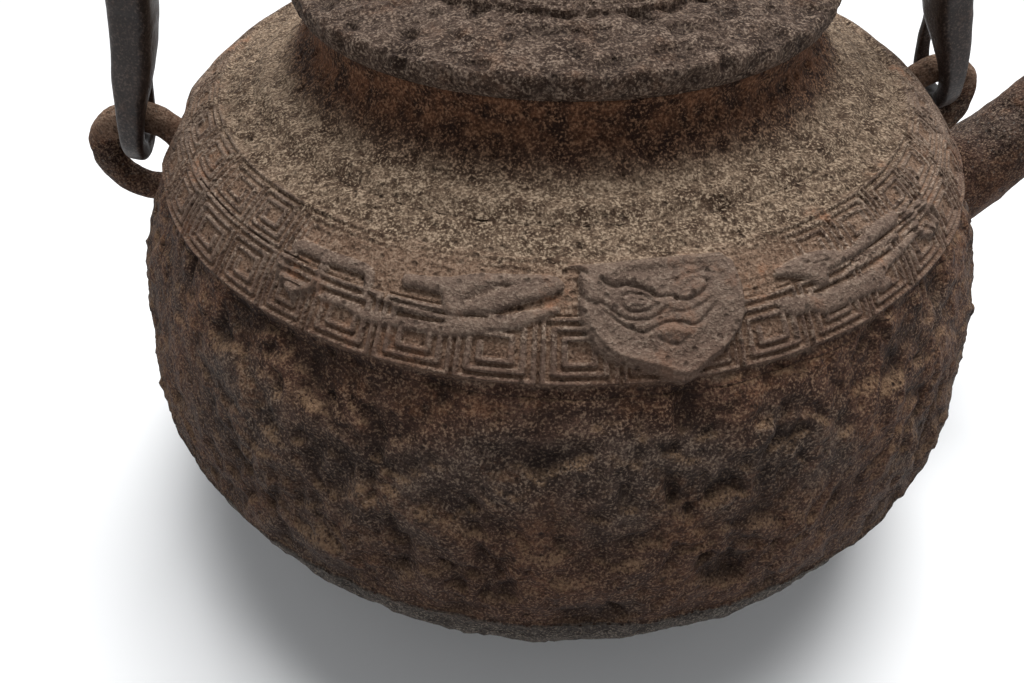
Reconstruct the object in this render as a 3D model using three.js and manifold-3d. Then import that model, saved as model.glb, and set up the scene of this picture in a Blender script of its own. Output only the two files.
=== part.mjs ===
// Cast-iron water kettle with a round squat body, a loose lid and a forged bail.
// Millimetres. +Z is up, the origin is the centre of the flat base, +X points to the spout.
import * as THREE from 'three';
import * as BufferGeometryUtils from 'three/addons/utils/BufferGeometryUtils.js';
import Module from 'manifold-3d';

const wasm = await Module();
wasm.setup();

// Body casting
const BODY_RADIUS = 95;           // at the mould seam, the widest line
const SEAM_HEIGHT = 47;           // seam above the base
const SEAM_RIDGE = 0.5;           // how far the mould seam stands proud
const SEAM_RIDGE_HEIGHT = 2.2;
const BASE_RADIUS = 50;
const SHOULDER_RADIUS = 59.5;     // crease where the flank turns into the top
const SHOULDER_HEIGHT = 53.8;     // crease above the seam
const WALL = 3.6;
const INNER_SHOULDER_SHARE = 0.6; // how much of the wall the inside steps in at the crease
const RIB_RADIUS = 56.2;          // rounded rib inside the crease
const RIB_RISE = 1.7;
const RIB_OUTER = 1.9;            // from the rib's top line out to where it is three quarters high
const RIB_INNER = 1.5;            // from the rib's top line in to where the cove starts
const NECK_RADIUS = 46.9;
const NECK_FOOT_RISE = 6.4;       // neck foot above the crease
const NECK_WALL = 4.9;
const RIM_RISE = 12.3;            // neck rim above the crease
const FOOT_FLARE = 1.9;           // how much wider the neck foot is than the neck
const COVE_SHIFT = 0.4;           // cove's middle outward of half way between rib and neck

// Handles of the curves that draw flank and bowl, as shares of the stretch they draw
const FLANK_PULL_LOW = [0.907, 0.255];
const FLANK_PULL_HIGH = [0.713, 0.907];
const BOWL_PULL_HIGH = [0.983, 0.415];
const BOWL_PULL_LOW = [0.806, 0.985];

// Raised ornament band round the shoulder, seen from above as two rows of squares
const BAND_LOW = 41.8;            // lower edge above the seam
const BAND_HIGH = 52.4;           // upper edge above the seam
const BAND_PROUD = 0.5;
const BAND_STEPS = 3;             // facets across the band

// Cast ring lugs
const LUG_INSET = 9.2;            // ring centre inside the widest radius
const LUG_HEIGHT = 36.5;          // ring centre above the seam
const LUG_RING_RADIUS = 8;        // centre line of the ring
const LUG_BAR_RADIUS = 3.1;

// Spout
const SPOUT_ROOT_RADIUS = 15.5;
const SPOUT_TIP_RADIUS = 8.2;
const SPOUT_WALL = 2.4;
const SPOUT_ROOT = [-11, 5];      // centre of the root: beyond the widest radius, above the seam
const SPOUT_TIP = [26, 42];
const SPOUT_BEND = [14, 13];      // where the two tangents of the spout meet
const SPOUT_TAPER = 0.8;          // below 1 the spout narrows sooner
const SPOUT_STEPS = 10;
const BORE_ROOT_EXTRA = 6;        // bore's run beyond the spout's root, into the body
const BORE_TIP_EXTRA = 2;

// Lid
const LID_RADIUS = 49.1;
const LID_EDGE = 4;               // thickness of the rim
const LID_CROWN = 4.4;            // rise of the crown above the rim's top
const LID_ROUNDNESS = 1.7;        // above 1 the crown is flat in the middle
const LID_PLATE = 3.4;
const LID_FILLET = 0.9;
const LID_BAND_OUTER = 34.5;      // raised ornament ring
const LID_BAND_INNER = 24.5;
const LID_BAND_PROUD = 0.5;
const LID_BAND_SLOPE = 0.4;
const SKIRT_DEPTH = 5.2;
const SKIRT_WALL = 2.6;
const SKIRT_TAPER = 0.4;          // how much thinner the skirt's foot is than its root
const SKIRT_CLEARANCE = 0.9;      // play between skirt and mouth
const SEAT_GAP = 0.3;             // between pieces that rest on each other

// Knob, riveted loosely through the lid
const STEM_RADIUS = 1.6;
const STEM_CLEARANCE = 0.3;
const KNOB_RADIUS = 10;
const KNOB_HEIGHT = 20;
const KNOB_BASE_RADIUS = 5.2;
const KNOB_WAIST_RADIUS = 3.4;
const KNOB_SEAT_RADIUS = 10.5;
const KNOB_SEAT_THICKNESS = 1.6;
const KNOB_SEAT_LOBES = 8;
const KNOB_SEAT_LOBE_DEPTH = 0.9;
const WASHER_RADIUS = 6;
const WASHER_THICKNESS = 0.9;
const WASHER_LAND = 2;            // flat ceiling of the lid beyond the washer
const SEAT_LAND = 1;              // flat top of the lid beyond the knob's seat
const RIVET_HEAD_RADIUS = 3.6;
const RIVET_HEAD_THICKNESS = 1.6;
// Outline above the waist, as shares of the knob's radius and height
const KNOB_BUD = [[0.78, 0.36], [1, 0.52], [0.93, 0.66], [0.66, 0.8], [0.3, 0.91], [0, 1]];

// Bail: one forged bar, each end hooked round a lug ring and lapped shut
const BAIL_LEAN = 18;             // degrees that each arm leans inward
const BAIL_RISE = 110;            // bar centre at the crown above the hinge line
const BAIL_ARM = 48;              // straight length of each arm
const BAIL_CORNER_PULL = 50;
const BAIL_CROWN_PULL = 38;
const BAR_WIDTH = 11;             // front to back
const BAR_THICKNESS = 7.6;        // across
const GRIP_WIDTH = 14;
const GRIP_THICKNESS = 8;
const EYE_RADIUS = 4.4;           // inside of the hook round the ring
const EYE_APEX = 14;              // where the hook's tail starts to lie on the bar
const HOOK_WIDTH = 4.2;
const HOOK_THICKNESS = 3.8;
const TAIL_WIDTH = 2.2;
const TAIL_THICKNESS = 2.4;
const TAIL_ROOT = 1.6;            // how far the tail's root reaches back into the hook
const BAR_SQUARENESS = 3.4;       // 2 is an oval section, higher is squarer

// Smoothness
const BODY_SEGMENTS = 72;
const CAVITY_SEGMENTS = 40;
const LID_SEGMENTS = 54;
const SMALL_SEGMENTS = 24;

const LEAN = THREE.MathUtils.degToRad(BAIL_LEAN);
const LUG_REACH = BODY_RADIUS - LUG_INSET;
// The hooks hang a little inside the rings' tops, half way to where they would be square to the bar
const HINGE_REACH = LUG_REACH - LUG_RING_RADIUS * Math.sin(LEAN / 2);
const HINGE_HEIGHT = SEAM_HEIGHT + LUG_HEIGHT + LUG_RING_RADIUS * Math.cos(LEAN / 2);
const RIM_HEIGHT = SEAM_HEIGHT + SHOULDER_HEIGHT + RIM_RISE;
const MOUTH_RADIUS = NECK_RADIUS - NECK_WALL;

// Joining and cutting
function toSolid(geometry) {
  const bare = geometry.clone();
  for (const name of Object.keys(bare.attributes)) {
    if (name !== 'position') bare.deleteAttribute(name);
  }
  const merged = BufferGeometryUtils.mergeVertices(bare, 1e-4);
  const position = merged.attributes.position;
  const index = Array.from(merged.index.array);
  const triangles = [];
  for (let i = 0; i < index.length; i += 3) {
    const [a, b, c] = index.slice(i, i + 3);
    if (a !== b && b !== c && c !== a) triangles.push(a, b, c);
  }
  let solid = new wasm.Manifold(new wasm.Mesh({
    numProp: 3,
    vertProperties: new Float32Array(position.array),
    triVerts: new Uint32Array(triangles),
  }));
  if (solid.volume() < 0) {
    for (let i = 0; i < triangles.length; i += 3) {
      [triangles[i], triangles[i + 1]] = [triangles[i + 1], triangles[i]];
    }
    solid = new wasm.Manifold(new wasm.Mesh({
      numProp: 3,
      vertProperties: new Float32Array(position.array),
      triVerts: new Uint32Array(triangles),
    }));
  }
  return solid;
}

function toGeometry(solid) {
  const mesh = solid.getMesh();
  const geometry = new THREE.BufferGeometry();
  geometry.setAttribute('position', new THREE.BufferAttribute(new Float32Array(mesh.vertProperties), 3));
  geometry.setIndex(Array.from(mesh.triVerts));
  geometry.computeVertexNormals();
  return geometry;
}

// Outlines are lists of [radius, height] that start and end on the axis or close on themselves
function revolve(outline, segments) {
  const points = outline.map(([radius, height]) => new THREE.Vector2(radius, height));
  return toSolid(new THREE.LatheGeometry(points, segments).rotateX(Math.PI / 2));
}

function curvePoints(start, pullStart, pullEnd, end, steps) {
  const curve = new THREE.CubicBezierCurve(
    new THREE.Vector2(...start), new THREE.Vector2(...pullStart),
    new THREE.Vector2(...pullEnd), new THREE.Vector2(...end));
  return curve.getPoints(steps).map((point) => [point.x, point.y]);
}

// The same curve rules draw the outside and, moved in by a wall, the inside
function bowlCurve(wall, steps) {
  const radius = BODY_RADIUS - wall;
  const depth = SEAM_HEIGHT - wall;
  return curvePoints(
    [BASE_RADIUS - wall / 2, wall],
    [radius * BOWL_PULL_LOW[0], SEAM_HEIGHT - depth * BOWL_PULL_LOW[1]],
    [radius * BOWL_PULL_HIGH[0], SEAM_HEIGHT - depth * BOWL_PULL_HIGH[1]],
    [radius, SEAM_HEIGHT],
    steps);
}

function flankCurve(wall, steps) {
  const radius = BODY_RADIUS - wall;
  const inset = radius - (SHOULDER_RADIUS - wall * INNER_SHOULDER_SHARE);
  const rise = SHOULDER_HEIGHT - wall;
  return curvePoints(
    [radius, SEAM_HEIGHT],
    [radius - inset * (1 - FLANK_PULL_LOW[0]), SEAM_HEIGHT + rise * FLANK_PULL_LOW[1]],
    [radius - inset * (1 - FLANK_PULL_HIGH[0]), SEAM_HEIGHT + rise * FLANK_PULL_HIGH[1]],
    [radius - inset, SEAM_HEIGHT + rise],
    steps);
}

// Raises the stretch of the flank that carries the ornament band
function withBand(outline) {
  const low = SEAM_HEIGHT + BAND_LOW;
  const high = SEAM_HEIGHT + BAND_HIGH;
  const curve = new THREE.SplineCurve(outline.map(([radius, height]) => new THREE.Vector2(radius, height)));
  const fine = curve.getPoints(240);
  const lift = (point, next) => {
    const along = new THREE.Vector2().subVectors(next, point).normalize();
    return [point.x + along.y * BAND_PROUD, point.y - along.x * BAND_PROUD];
  };
  const inside = fine.filter((point) => point.y > low && point.y < high);
  const raised = [];
  for (let i = 0; i <= BAND_STEPS; i += 1) {
    const at = Math.round((inside.length - 2) * i / BAND_STEPS);
    raised.push(lift(inside[at], inside[at + 1]));
  }
  const first = inside[0];
  const last = inside[inside.length - 1];
  return [
    ...outline.filter(([, height]) => height < low - 1),
    [first.x, first.y],
    ...raised,
    [last.x, last.y],
    ...outline.filter(([, height]) => height > high + 0.3),
  ];
}

function bodyOutline() {
  const crease = SEAM_HEIGHT + SHOULDER_HEIGHT;
  const ridge = SEAM_RIDGE_HEIGHT / 2;
  const bowl = bowlCurve(0, 8).filter(([, height]) => height < SEAM_HEIGHT - ridge);
  const flank = withBand(flankCurve(0, 8).filter(([, height]) => height > SEAM_HEIGHT + ridge));
  const neckFoot = crease + NECK_FOOT_RISE;
  const coveRadius = (RIB_RADIUS + NECK_RADIUS) / 2 + COVE_SHIFT;
  return [
    [0, 0],
    ...bowl,
    [BODY_RADIUS, SEAM_HEIGHT - ridge],
    [BODY_RADIUS + SEAM_RIDGE, SEAM_HEIGHT],
    [BODY_RADIUS, SEAM_HEIGHT + ridge],
    ...flank,
    [RIB_RADIUS + RIB_OUTER, crease + RIB_RISE * 0.75],
    [RIB_RADIUS, crease + RIB_RISE],
    [RIB_RADIUS - RIB_INNER, crease + RIB_RISE * 1.05],
    [coveRadius, crease + NECK_FOOT_RISE * 0.5],
    [NECK_RADIUS + FOOT_FLARE, neckFoot],
    [NECK_RADIUS, neckFoot + FOOT_FLARE],
    [NECK_RADIUS, RIM_HEIGHT],
    [0, RIM_HEIGHT],
  ];
}

function cavityOutline() {
  const top = RIM_HEIGHT + 2;
  const crease = SEAM_HEIGHT + SHOULDER_HEIGHT;
  return [
    [0, WALL],
    ...bowlCurve(WALL, 6),
    ...flankCurve(WALL, 7).slice(1),
    [MOUTH_RADIUS + FOOT_FLARE, crease + NECK_FOOT_RISE - WALL],
    [MOUTH_RADIUS, crease + NECK_FOOT_RISE],
    [MOUTH_RADIUS, top],
    [0, top],
  ];
}

// Turns a straight round bar into one that follows a curve; shape(u) gives the section there
function sweep(sides, steps, shape) {
  const geometry = new THREE.CylinderGeometry(1, 1, 1, sides, steps);
  const position = geometry.attributes.position;
  const vertex = new THREE.Vector3();
  for (let i = 0; i < position.count; i += 1) {
    vertex.fromBufferAttribute(position, i);
    const size = Math.hypot(vertex.x, vertex.z);
    const angle = Math.atan2(vertex.z, vertex.x);
    const { centre, across, along, thickness, width, squareness } = shape(vertex.y + 0.5);
    const power = 2 / squareness;
    const round = (value) => Math.sign(value) * Math.abs(value) ** power;
    vertex.copy(centre)
      .addScaledVector(across, round(Math.cos(angle)) * size * thickness / 2)
      .addScaledVector(along, round(Math.sin(angle)) * size * width / 2);
    position.setXYZ(i, vertex.x, vertex.y, vertex.z);
  }
  return toSolid(geometry);
}

const AXIS_Y = new THREE.Vector3(0, 1, 0);

function spoutCurve(startExtra, endExtra) {
  const lift = ([beyond, height]) => new THREE.Vector3(BODY_RADIUS + beyond, 0, SEAM_HEIGHT + height);
  const root = lift(SPOUT_ROOT);
  const bend = lift(SPOUT_BEND);
  const tip = lift(SPOUT_TIP);
  root.addScaledVector(new THREE.Vector3().subVectors(root, bend).normalize(), startExtra);
  tip.addScaledVector(new THREE.Vector3().subVectors(tip, bend).normalize(), endExtra);
  return new THREE.QuadraticBezierCurve3(root, bend, tip);
}

function spoutTube(inset, startExtra, endExtra, sides) {
  const curve = spoutCurve(startExtra, endExtra);
  return sweep(sides, SPOUT_STEPS, (u) => {
    const tangent = curve.getTangent(u);
    const radius = THREE.MathUtils.lerp(SPOUT_ROOT_RADIUS, SPOUT_TIP_RADIUS, u ** SPOUT_TAPER) - inset;
    return {
      centre: curve.getPoint(u),
      across: new THREE.Vector3().crossVectors(tangent, AXIS_Y),
      along: AXIS_Y,
      thickness: radius * 2,
      width: radius * 2,
      squareness: 2,
    };
  });
}

function lugRing(side) {
  const ring = new THREE.TorusGeometry(LUG_RING_RADIUS, LUG_BAR_RADIUS, 10, 22).rotateX(Math.PI / 2);
  ring.translate(side * LUG_REACH, 0, SEAM_HEIGHT + LUG_HEIGHT);
  return toSolid(ring);
}

function kettleBody() {
  return revolve(bodyOutline(), BODY_SEGMENTS)
    .add(lugRing(-1))
    .add(lugRing(1))
    .add(spoutTube(0, 0, 0, 20))
    .subtract(revolve(cavityOutline(), CAVITY_SEGMENTS))
    .subtract(spoutTube(SPOUT_WALL, BORE_ROOT_EXTRA, BORE_TIP_EXTRA, 16));
}

const LID_UNDER = RIM_HEIGHT + SEAT_GAP;
const LID_TOP = LID_UNDER + LID_EDGE + LID_CROWN;
const LID_CEILING = LID_TOP - LID_PLATE;
const STEM_HOLE_RADIUS = STEM_RADIUS + STEM_CLEARANCE;

function lid() {
  const edgeTop = LID_UNDER + LID_EDGE;
  const crown = (radius) => {
    const flat = KNOB_SEAT_RADIUS + SEAT_LAND;
    const share = Math.max(0, (radius - flat) / (LID_RADIUS - flat));
    return LID_TOP - LID_CROWN * share ** LID_ROUNDNESS;
  };
  const skirtOuter = MOUTH_RADIUS - SKIRT_CLEARANCE;
  const skirtInner = skirtOuter - SKIRT_WALL;
  const bottom = LID_UNDER - SKIRT_DEPTH;
  const bandMiddle = (LID_BAND_OUTER + LID_BAND_INNER) / 2;
  const outside = (LID_RADIUS + LID_BAND_OUTER) / 2;
  const inside = (LID_BAND_INNER + KNOB_SEAT_RADIUS) / 2;
  const outline = [
    [STEM_HOLE_RADIUS, LID_CEILING],
    [WASHER_RADIUS + WASHER_LAND, LID_CEILING],
    [skirtInner * 0.72, LID_CEILING - LID_CROWN * 0.3],
    [skirtInner, LID_CEILING - LID_CROWN * 0.75],
    [skirtInner + SKIRT_TAPER, bottom],
    [skirtOuter, bottom],
    [skirtOuter, LID_UNDER],
    [LID_RADIUS - LID_FILLET, LID_UNDER],
    [LID_RADIUS, LID_UNDER + LID_FILLET],
    [LID_RADIUS, edgeTop - LID_FILLET],
    [LID_RADIUS - LID_FILLET, crown(LID_RADIUS - LID_FILLET)],
    [outside, crown(outside)],
    [LID_BAND_OUTER, crown(LID_BAND_OUTER)],
    [LID_BAND_OUTER - LID_BAND_SLOPE, crown(LID_BAND_OUTER) + LID_BAND_PROUD],
    [bandMiddle, crown(bandMiddle) + LID_BAND_PROUD],
    [LID_BAND_INNER + LID_BAND_SLOPE, crown(LID_BAND_INNER) + LID_BAND_PROUD],
    [LID_BAND_INNER, crown(LID_BAND_INNER)],
    [inside, crown(inside)],
    [KNOB_SEAT_RADIUS + SEAT_LAND, LID_TOP],
    [STEM_HOLE_RADIUS, LID_TOP],
    [STEM_HOLE_RADIUS, LID_CEILING],
  ];
  return revolve(outline, LID_SEGMENTS);
}

const SEAT_BOTTOM = LID_TOP + SEAT_GAP;
const SEAT_TOP = SEAT_BOTTOM + KNOB_SEAT_THICKNESS;

function knobSeat() {
  const outline = new THREE.Shape();
  const steps = KNOB_SEAT_LOBES * 4;
  for (let i = 0; i < steps; i += 1) {
    const angle = (i / steps) * Math.PI * 2;
    const lobe = Math.abs(Math.cos(angle * KNOB_SEAT_LOBES / 2));
    const radius = KNOB_SEAT_RADIUS - KNOB_SEAT_LOBE_DEPTH * (1 - lobe ** 0.6);
    const x = radius * Math.cos(angle);
    const y = radius * Math.sin(angle);
    if (i === 0) outline.moveTo(x, y);
    else outline.lineTo(x, y);
  }
  outline.closePath();
  const hole = new THREE.Path();
  hole.absarc(0, 0, STEM_HOLE_RADIUS, 0, Math.PI * 2, true);
  outline.holes.push(hole);
  const plate = new THREE.ExtrudeGeometry(outline, {
    depth: KNOB_SEAT_THICKNESS, bevelEnabled: false, curveSegments: SMALL_SEGMENTS / 2,
  });
  plate.translate(0, 0, SEAT_BOTTOM);
  return toSolid(plate);
}

const WASHER_TOP = LID_CEILING - SEAT_GAP;
const WASHER_BOTTOM = WASHER_TOP - WASHER_THICKNESS;

function knobWasher() {
  return revolve([
    [STEM_HOLE_RADIUS, WASHER_BOTTOM],
    [WASHER_RADIUS, WASHER_BOTTOM],
    [WASHER_RADIUS, WASHER_TOP],
    [STEM_HOLE_RADIUS, WASHER_TOP],
    [STEM_HOLE_RADIUS, WASHER_BOTTOM],
  ], SMALL_SEGMENTS);
}

function knob() {
  const headTop = WASHER_BOTTOM - SEAT_GAP;
  const headBottom = headTop - RIVET_HEAD_THICKNESS;
  const foot = SEAT_TOP + SEAT_GAP;
  const at = (share) => foot + KNOB_HEIGHT * share;
  return revolve([
    [0, headBottom],
    [RIVET_HEAD_RADIUS * 0.7, headBottom],
    [RIVET_HEAD_RADIUS, headBottom + RIVET_HEAD_THICKNESS * 0.5],
    [RIVET_HEAD_RADIUS, headTop],
    [STEM_RADIUS, headTop],
    [STEM_RADIUS, foot],
    [KNOB_BASE_RADIUS, foot],
    [KNOB_BASE_RADIUS, at(0.06)],
    [KNOB_WAIST_RADIUS, at(0.16)],
    [KNOB_WAIST_RADIUS * 1.15, at(0.26)],
    ...KNOB_BUD.map(([radius, height]) => [KNOB_RADIUS * radius, at(height)]),
  ], SMALL_SEGMENTS);
}

// Arm frame on one side: up the arm, across it, and the hinge point in the ring's top
function armFrame(side) {
  return {
    hinge: new THREE.Vector3(side * HINGE_REACH, 0, HINGE_HEIGHT),
    up: new THREE.Vector3(-side * Math.sin(LEAN), 0, Math.cos(LEAN)),
    across: new THREE.Vector3(-side * Math.cos(LEAN), 0, -Math.sin(LEAN)),
  };
}

// Hook seen along the hinge: front-to-back place, height up the arm, width and thickness
function hookStations() {
  const legCentre = EYE_RADIUS + HOOK_WIDTH / 2;
  const diagonal = legCentre * Math.SQRT1_2;
  return [
    { back: 0, up: -legCentre, width: HOOK_WIDTH, thickness: HOOK_THICKNESS },
    { back: -diagonal, up: -diagonal, width: HOOK_WIDTH, thickness: HOOK_THICKNESS + 0.1 },
    { back: -legCentre, up: 0, width: HOOK_WIDTH, thickness: HOOK_THICKNESS + 0.4 },
    { back: -legCentre * 0.94, up: EYE_APEX * 0.3, width: HOOK_WIDTH + 0.6, thickness: HOOK_THICKNESS + 1 },
    { back: -legCentre * 0.71, up: EYE_APEX * 0.6, width: BAR_WIDTH * 0.57, thickness: BAR_THICKNESS - 1.4 },
    { back: -legCentre * 0.37, up: EYE_APEX * 0.9, width: BAR_WIDTH * 0.77, thickness: BAR_THICKNESS - 0.7 },
    { back: -legCentre * 0.09, up: EYE_APEX * 1.2, width: BAR_WIDTH * 0.96, thickness: BAR_THICKNESS - 0.2 },
    { back: 0, up: EYE_APEX * 1.55, width: BAR_WIDTH, thickness: BAR_THICKNESS },
  ];
}

function tailStations() {
  const tailCentre = EYE_RADIUS + TAIL_WIDTH / 2;
  const turn = tailCentre * 0.78;
  const legCentre = EYE_RADIUS + HOOK_WIDTH / 2;
  return [
    { back: -TAIL_ROOT, up: -legCentre + 0.2, width: HOOK_WIDTH * 0.96, thickness: HOOK_THICKNESS * 0.94 },
    { back: 0, up: -legCentre, width: HOOK_WIDTH * 0.98, thickness: HOOK_THICKNESS * 0.96 },
    { back: turn, up: -turn, width: TAIL_WIDTH * 1.5, thickness: TAIL_THICKNESS * 1.4 },
    { back: tailCentre + 0.1, up: 0, width: TAIL_WIDTH * 1.15, thickness: TAIL_THICKNESS * 1.15 },
    { back: tailCentre, up: EYE_APEX * 0.35, width: TAIL_WIDTH, thickness: TAIL_THICKNESS },
    { back: tailCentre * 0.8, up: EYE_APEX * 0.75, width: TAIL_WIDTH, thickness: TAIL_THICKNESS },
    { back: tailCentre * 0.6, up: EYE_APEX * 1.1, width: TAIL_WIDTH * 0.9, thickness: TAIL_THICKNESS },
  ];
}

function place(frame, station) {
  return {
    ...station,
    centre: frame.hinge.clone()
      .addScaledVector(AXIS_Y, station.back)
      .addScaledVector(frame.up, station.up),
    across: frame.across,
  };
}

function archStations() {
  const right = armFrame(1);
  const shoulder = right.hinge.clone().addScaledVector(right.up, BAIL_ARM);
  const corner = shoulder.clone().addScaledVector(right.up, BAIL_CORNER_PULL);
  const crown = new THREE.Vector3(0, 0, HINGE_HEIGHT + BAIL_RISE);
  const pull = crown.clone().setX(BAIL_CROWN_PULL);
  const half = new THREE.CubicBezierCurve3(shoulder, corner, pull, crown);
  const armShares = [0.48, 0.72];
  const arm = armShares.map((share) => right.hinge.clone().addScaledVector(right.up, BAIL_ARM * share));
  const points = [...arm, ...half.getPoints(8)];
  return points.map((centre, i) => {
    const share = i / (points.length - 1);
    return {
      centre,
      across: null,
      width: THREE.MathUtils.lerp(BAR_WIDTH, GRIP_WIDTH, THREE.MathUtils.smoothstep(share, 0.3, 1)),
      thickness: THREE.MathUtils.lerp(BAR_THICKNESS, GRIP_THICKNESS, share),
    };
  });
}

// A bar through stations; where a station has no across direction the bar lies in the XZ plane
function forgedBar(stations, steps) {
  const curve = new THREE.CatmullRomCurve3(stations.map((station) => station.centre), false, 'centripetal');
  const last = stations.length - 1;
  return sweep(10, steps, (u) => {
    const place01 = Math.min(u * last, last - 1e-6);
    const low = stations[Math.floor(place01)];
    const high = stations[Math.floor(place01) + 1];
    const share = place01 - Math.floor(place01);
    const tangent = curve.getTangent(u);
    const flat = low.across && high.across ? low.across : null;
    const across = (flat ? flat.clone() : new THREE.Vector3().crossVectors(tangent, AXIS_Y)).normalize();
    return {
      centre: curve.getPoint(u),
      across,
      along: new THREE.Vector3().crossVectors(across, tangent).normalize(),
      thickness: THREE.MathUtils.lerp(low.thickness, high.thickness, share),
      width: THREE.MathUtils.lerp(low.width, high.width, share),
      squareness: BAR_SQUARENESS,
    };
  });
}

function bail() {
  const mirrored = (station) => ({
    ...station,
    centre: station.centre.clone().setX(-station.centre.x),
    across: station.across ? armFrame(-1).across : null,
  });
  const right = [
    ...hookStations().map((station) => place(armFrame(1), station)),
    ...archStations(),
  ];
  const left = right.slice(0, -1).reverse().map(mirrored);
  const tail = (side) => forgedBar(tailStations().map((station) => place(armFrame(side), station)), 12);
  return forgedBar([...right, ...left], 72).add(tail(1)).add(tail(-1));
}

const castIron = (colour, roughness) => new THREE.MeshStandardMaterial({
  color: colour, roughness, metalness: 0.35,
});

function piece(name, solid, material) {
  const mesh = new THREE.Mesh(toGeometry(solid), material);
  mesh.name = name;
  return mesh;
}

const kettle = new THREE.Group();
kettle.add(
  piece('kettle_body', kettleBody(), castIron(0x4e453d, 0.82)),
  piece('lid', lid(), castIron(0x55504a, 0.8)),
  piece('knob_seat', knobSeat(), castIron(0x4a4038, 0.7)),
  piece('knob_washer', knobWasher(), castIron(0x453c36, 0.75)),
  piece('knob', knob(), castIron(0x40372f, 0.65)),
  piece('bail', bail(), castIron(0x332b28, 0.7)),
);

export default kettle;
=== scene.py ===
"""Cast-iron water kettle: the visual model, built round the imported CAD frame.

The classes hold millimetres, with +Z up from the flat base and -Y towards the ornament's mask.
Meshes are written in metres.
"""

import logging
import math
from collections.abc import Callable, Sequence
from dataclasses import dataclass, field
from enum import Enum
from functools import partial

import bmesh
import bpy
import numpy as np
from mathutils import Matrix, Vector


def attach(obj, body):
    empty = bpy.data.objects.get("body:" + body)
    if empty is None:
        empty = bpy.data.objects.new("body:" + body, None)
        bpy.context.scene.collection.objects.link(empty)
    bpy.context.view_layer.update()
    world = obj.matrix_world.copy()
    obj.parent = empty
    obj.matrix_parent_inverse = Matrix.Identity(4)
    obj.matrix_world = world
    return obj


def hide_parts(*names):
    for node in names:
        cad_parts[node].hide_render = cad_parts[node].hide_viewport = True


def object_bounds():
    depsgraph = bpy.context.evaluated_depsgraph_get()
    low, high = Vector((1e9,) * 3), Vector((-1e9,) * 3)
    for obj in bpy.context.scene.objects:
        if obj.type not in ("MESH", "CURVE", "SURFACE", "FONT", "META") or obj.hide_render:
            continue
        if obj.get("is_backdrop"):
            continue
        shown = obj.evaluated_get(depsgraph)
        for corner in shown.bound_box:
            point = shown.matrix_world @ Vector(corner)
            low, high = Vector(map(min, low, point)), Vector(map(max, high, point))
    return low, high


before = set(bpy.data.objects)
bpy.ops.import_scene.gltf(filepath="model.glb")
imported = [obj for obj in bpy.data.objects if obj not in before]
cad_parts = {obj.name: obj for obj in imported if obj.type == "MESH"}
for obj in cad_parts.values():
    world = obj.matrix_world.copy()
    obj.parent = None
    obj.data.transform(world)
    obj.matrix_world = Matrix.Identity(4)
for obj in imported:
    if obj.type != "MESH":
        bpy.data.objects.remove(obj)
CAD_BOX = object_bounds()

log = logging.getLogger("kettle")
MM = 0.001
AXIS_Y = np.array([0.0, 1.0, 0.0])
DEGREE = 1.257  # millimetres of one degree at the ornament band's middle
FIGURE_DEPTH = 0.78  # share of the figures' heights that the worn casting keeps

Array = np.ndarray
Colour = tuple[float, float, float]
Point = tuple[float, float, float]
Corners = Sequence[Sequence[float]]
Relief = Callable[[Array, Array, Array], Array]


# Curves and noise


def smooth(low: float, high: float, value: Array) -> Array:
    """Ease from 0 at low to 1 at high.

    Args:
        low: Where the rise starts.
        high: Where it ends; below low the step falls instead.
        value: The values to ease.

    Returns:
        The eased shares, 0 to 1.
    """
    share = np.clip((np.asarray(value, float) - low) / (high - low), 0, 1)
    return share * share * (3 - 2 * share)


def unit(rows: Array) -> Array:
    """Scale each row to length 1."""
    return rows / np.linalg.norm(rows, axis=1, keepdims=True)


def from_axis(place: Array) -> Array:
    """Measure how far rows of x, y, z lie from the upright axis."""
    return np.hypot(place[:, 0], place[:, 1])


def bump(centre: float, half: float, value: Array) -> Array:
    """Give a soft hill of height 1 round a centre."""
    return smooth(centre - half, centre, value) * smooth(centre + half, centre, value)


def bezier(corners: Corners, steps: int) -> Array:
    """Draw a cubic curve through its four control points."""
    share = np.linspace(0, 1, steps + 1)[:, None]
    a, b, c, d = (np.asarray(corner, float) for corner in corners)
    rest = 1 - share
    return a * rest**3 + 3 * b * rest**2 * share + 3 * c * rest * share**2 + d * share**3


def catmull(points: Array, steps: int) -> Array:
    """Draw an evenly flowing curve through points of any width.

    Args:
        points: One row for each station.
        steps: Stretches between two stations.

    Returns:
        The dense rows, first and last station included.
    """
    points = np.asarray(points, float)
    padded = np.vstack([2 * points[0] - points[1], points, 2 * points[-1] - points[-2]])
    share = np.linspace(0, 1, steps, endpoint=False)[:, None]
    rows = []
    for before, start, end, after in zip(padded, padded[1:], padded[2:], padded[3:]):
        rows.append(0.5 * (
            2 * start + (end - before) * share + (2 * before - 5 * start + 4 * end - after) * share**2
            + (3 * start - before - 3 * end + after) * share**3))
    return np.vstack(rows + [points[-1:]])


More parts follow.
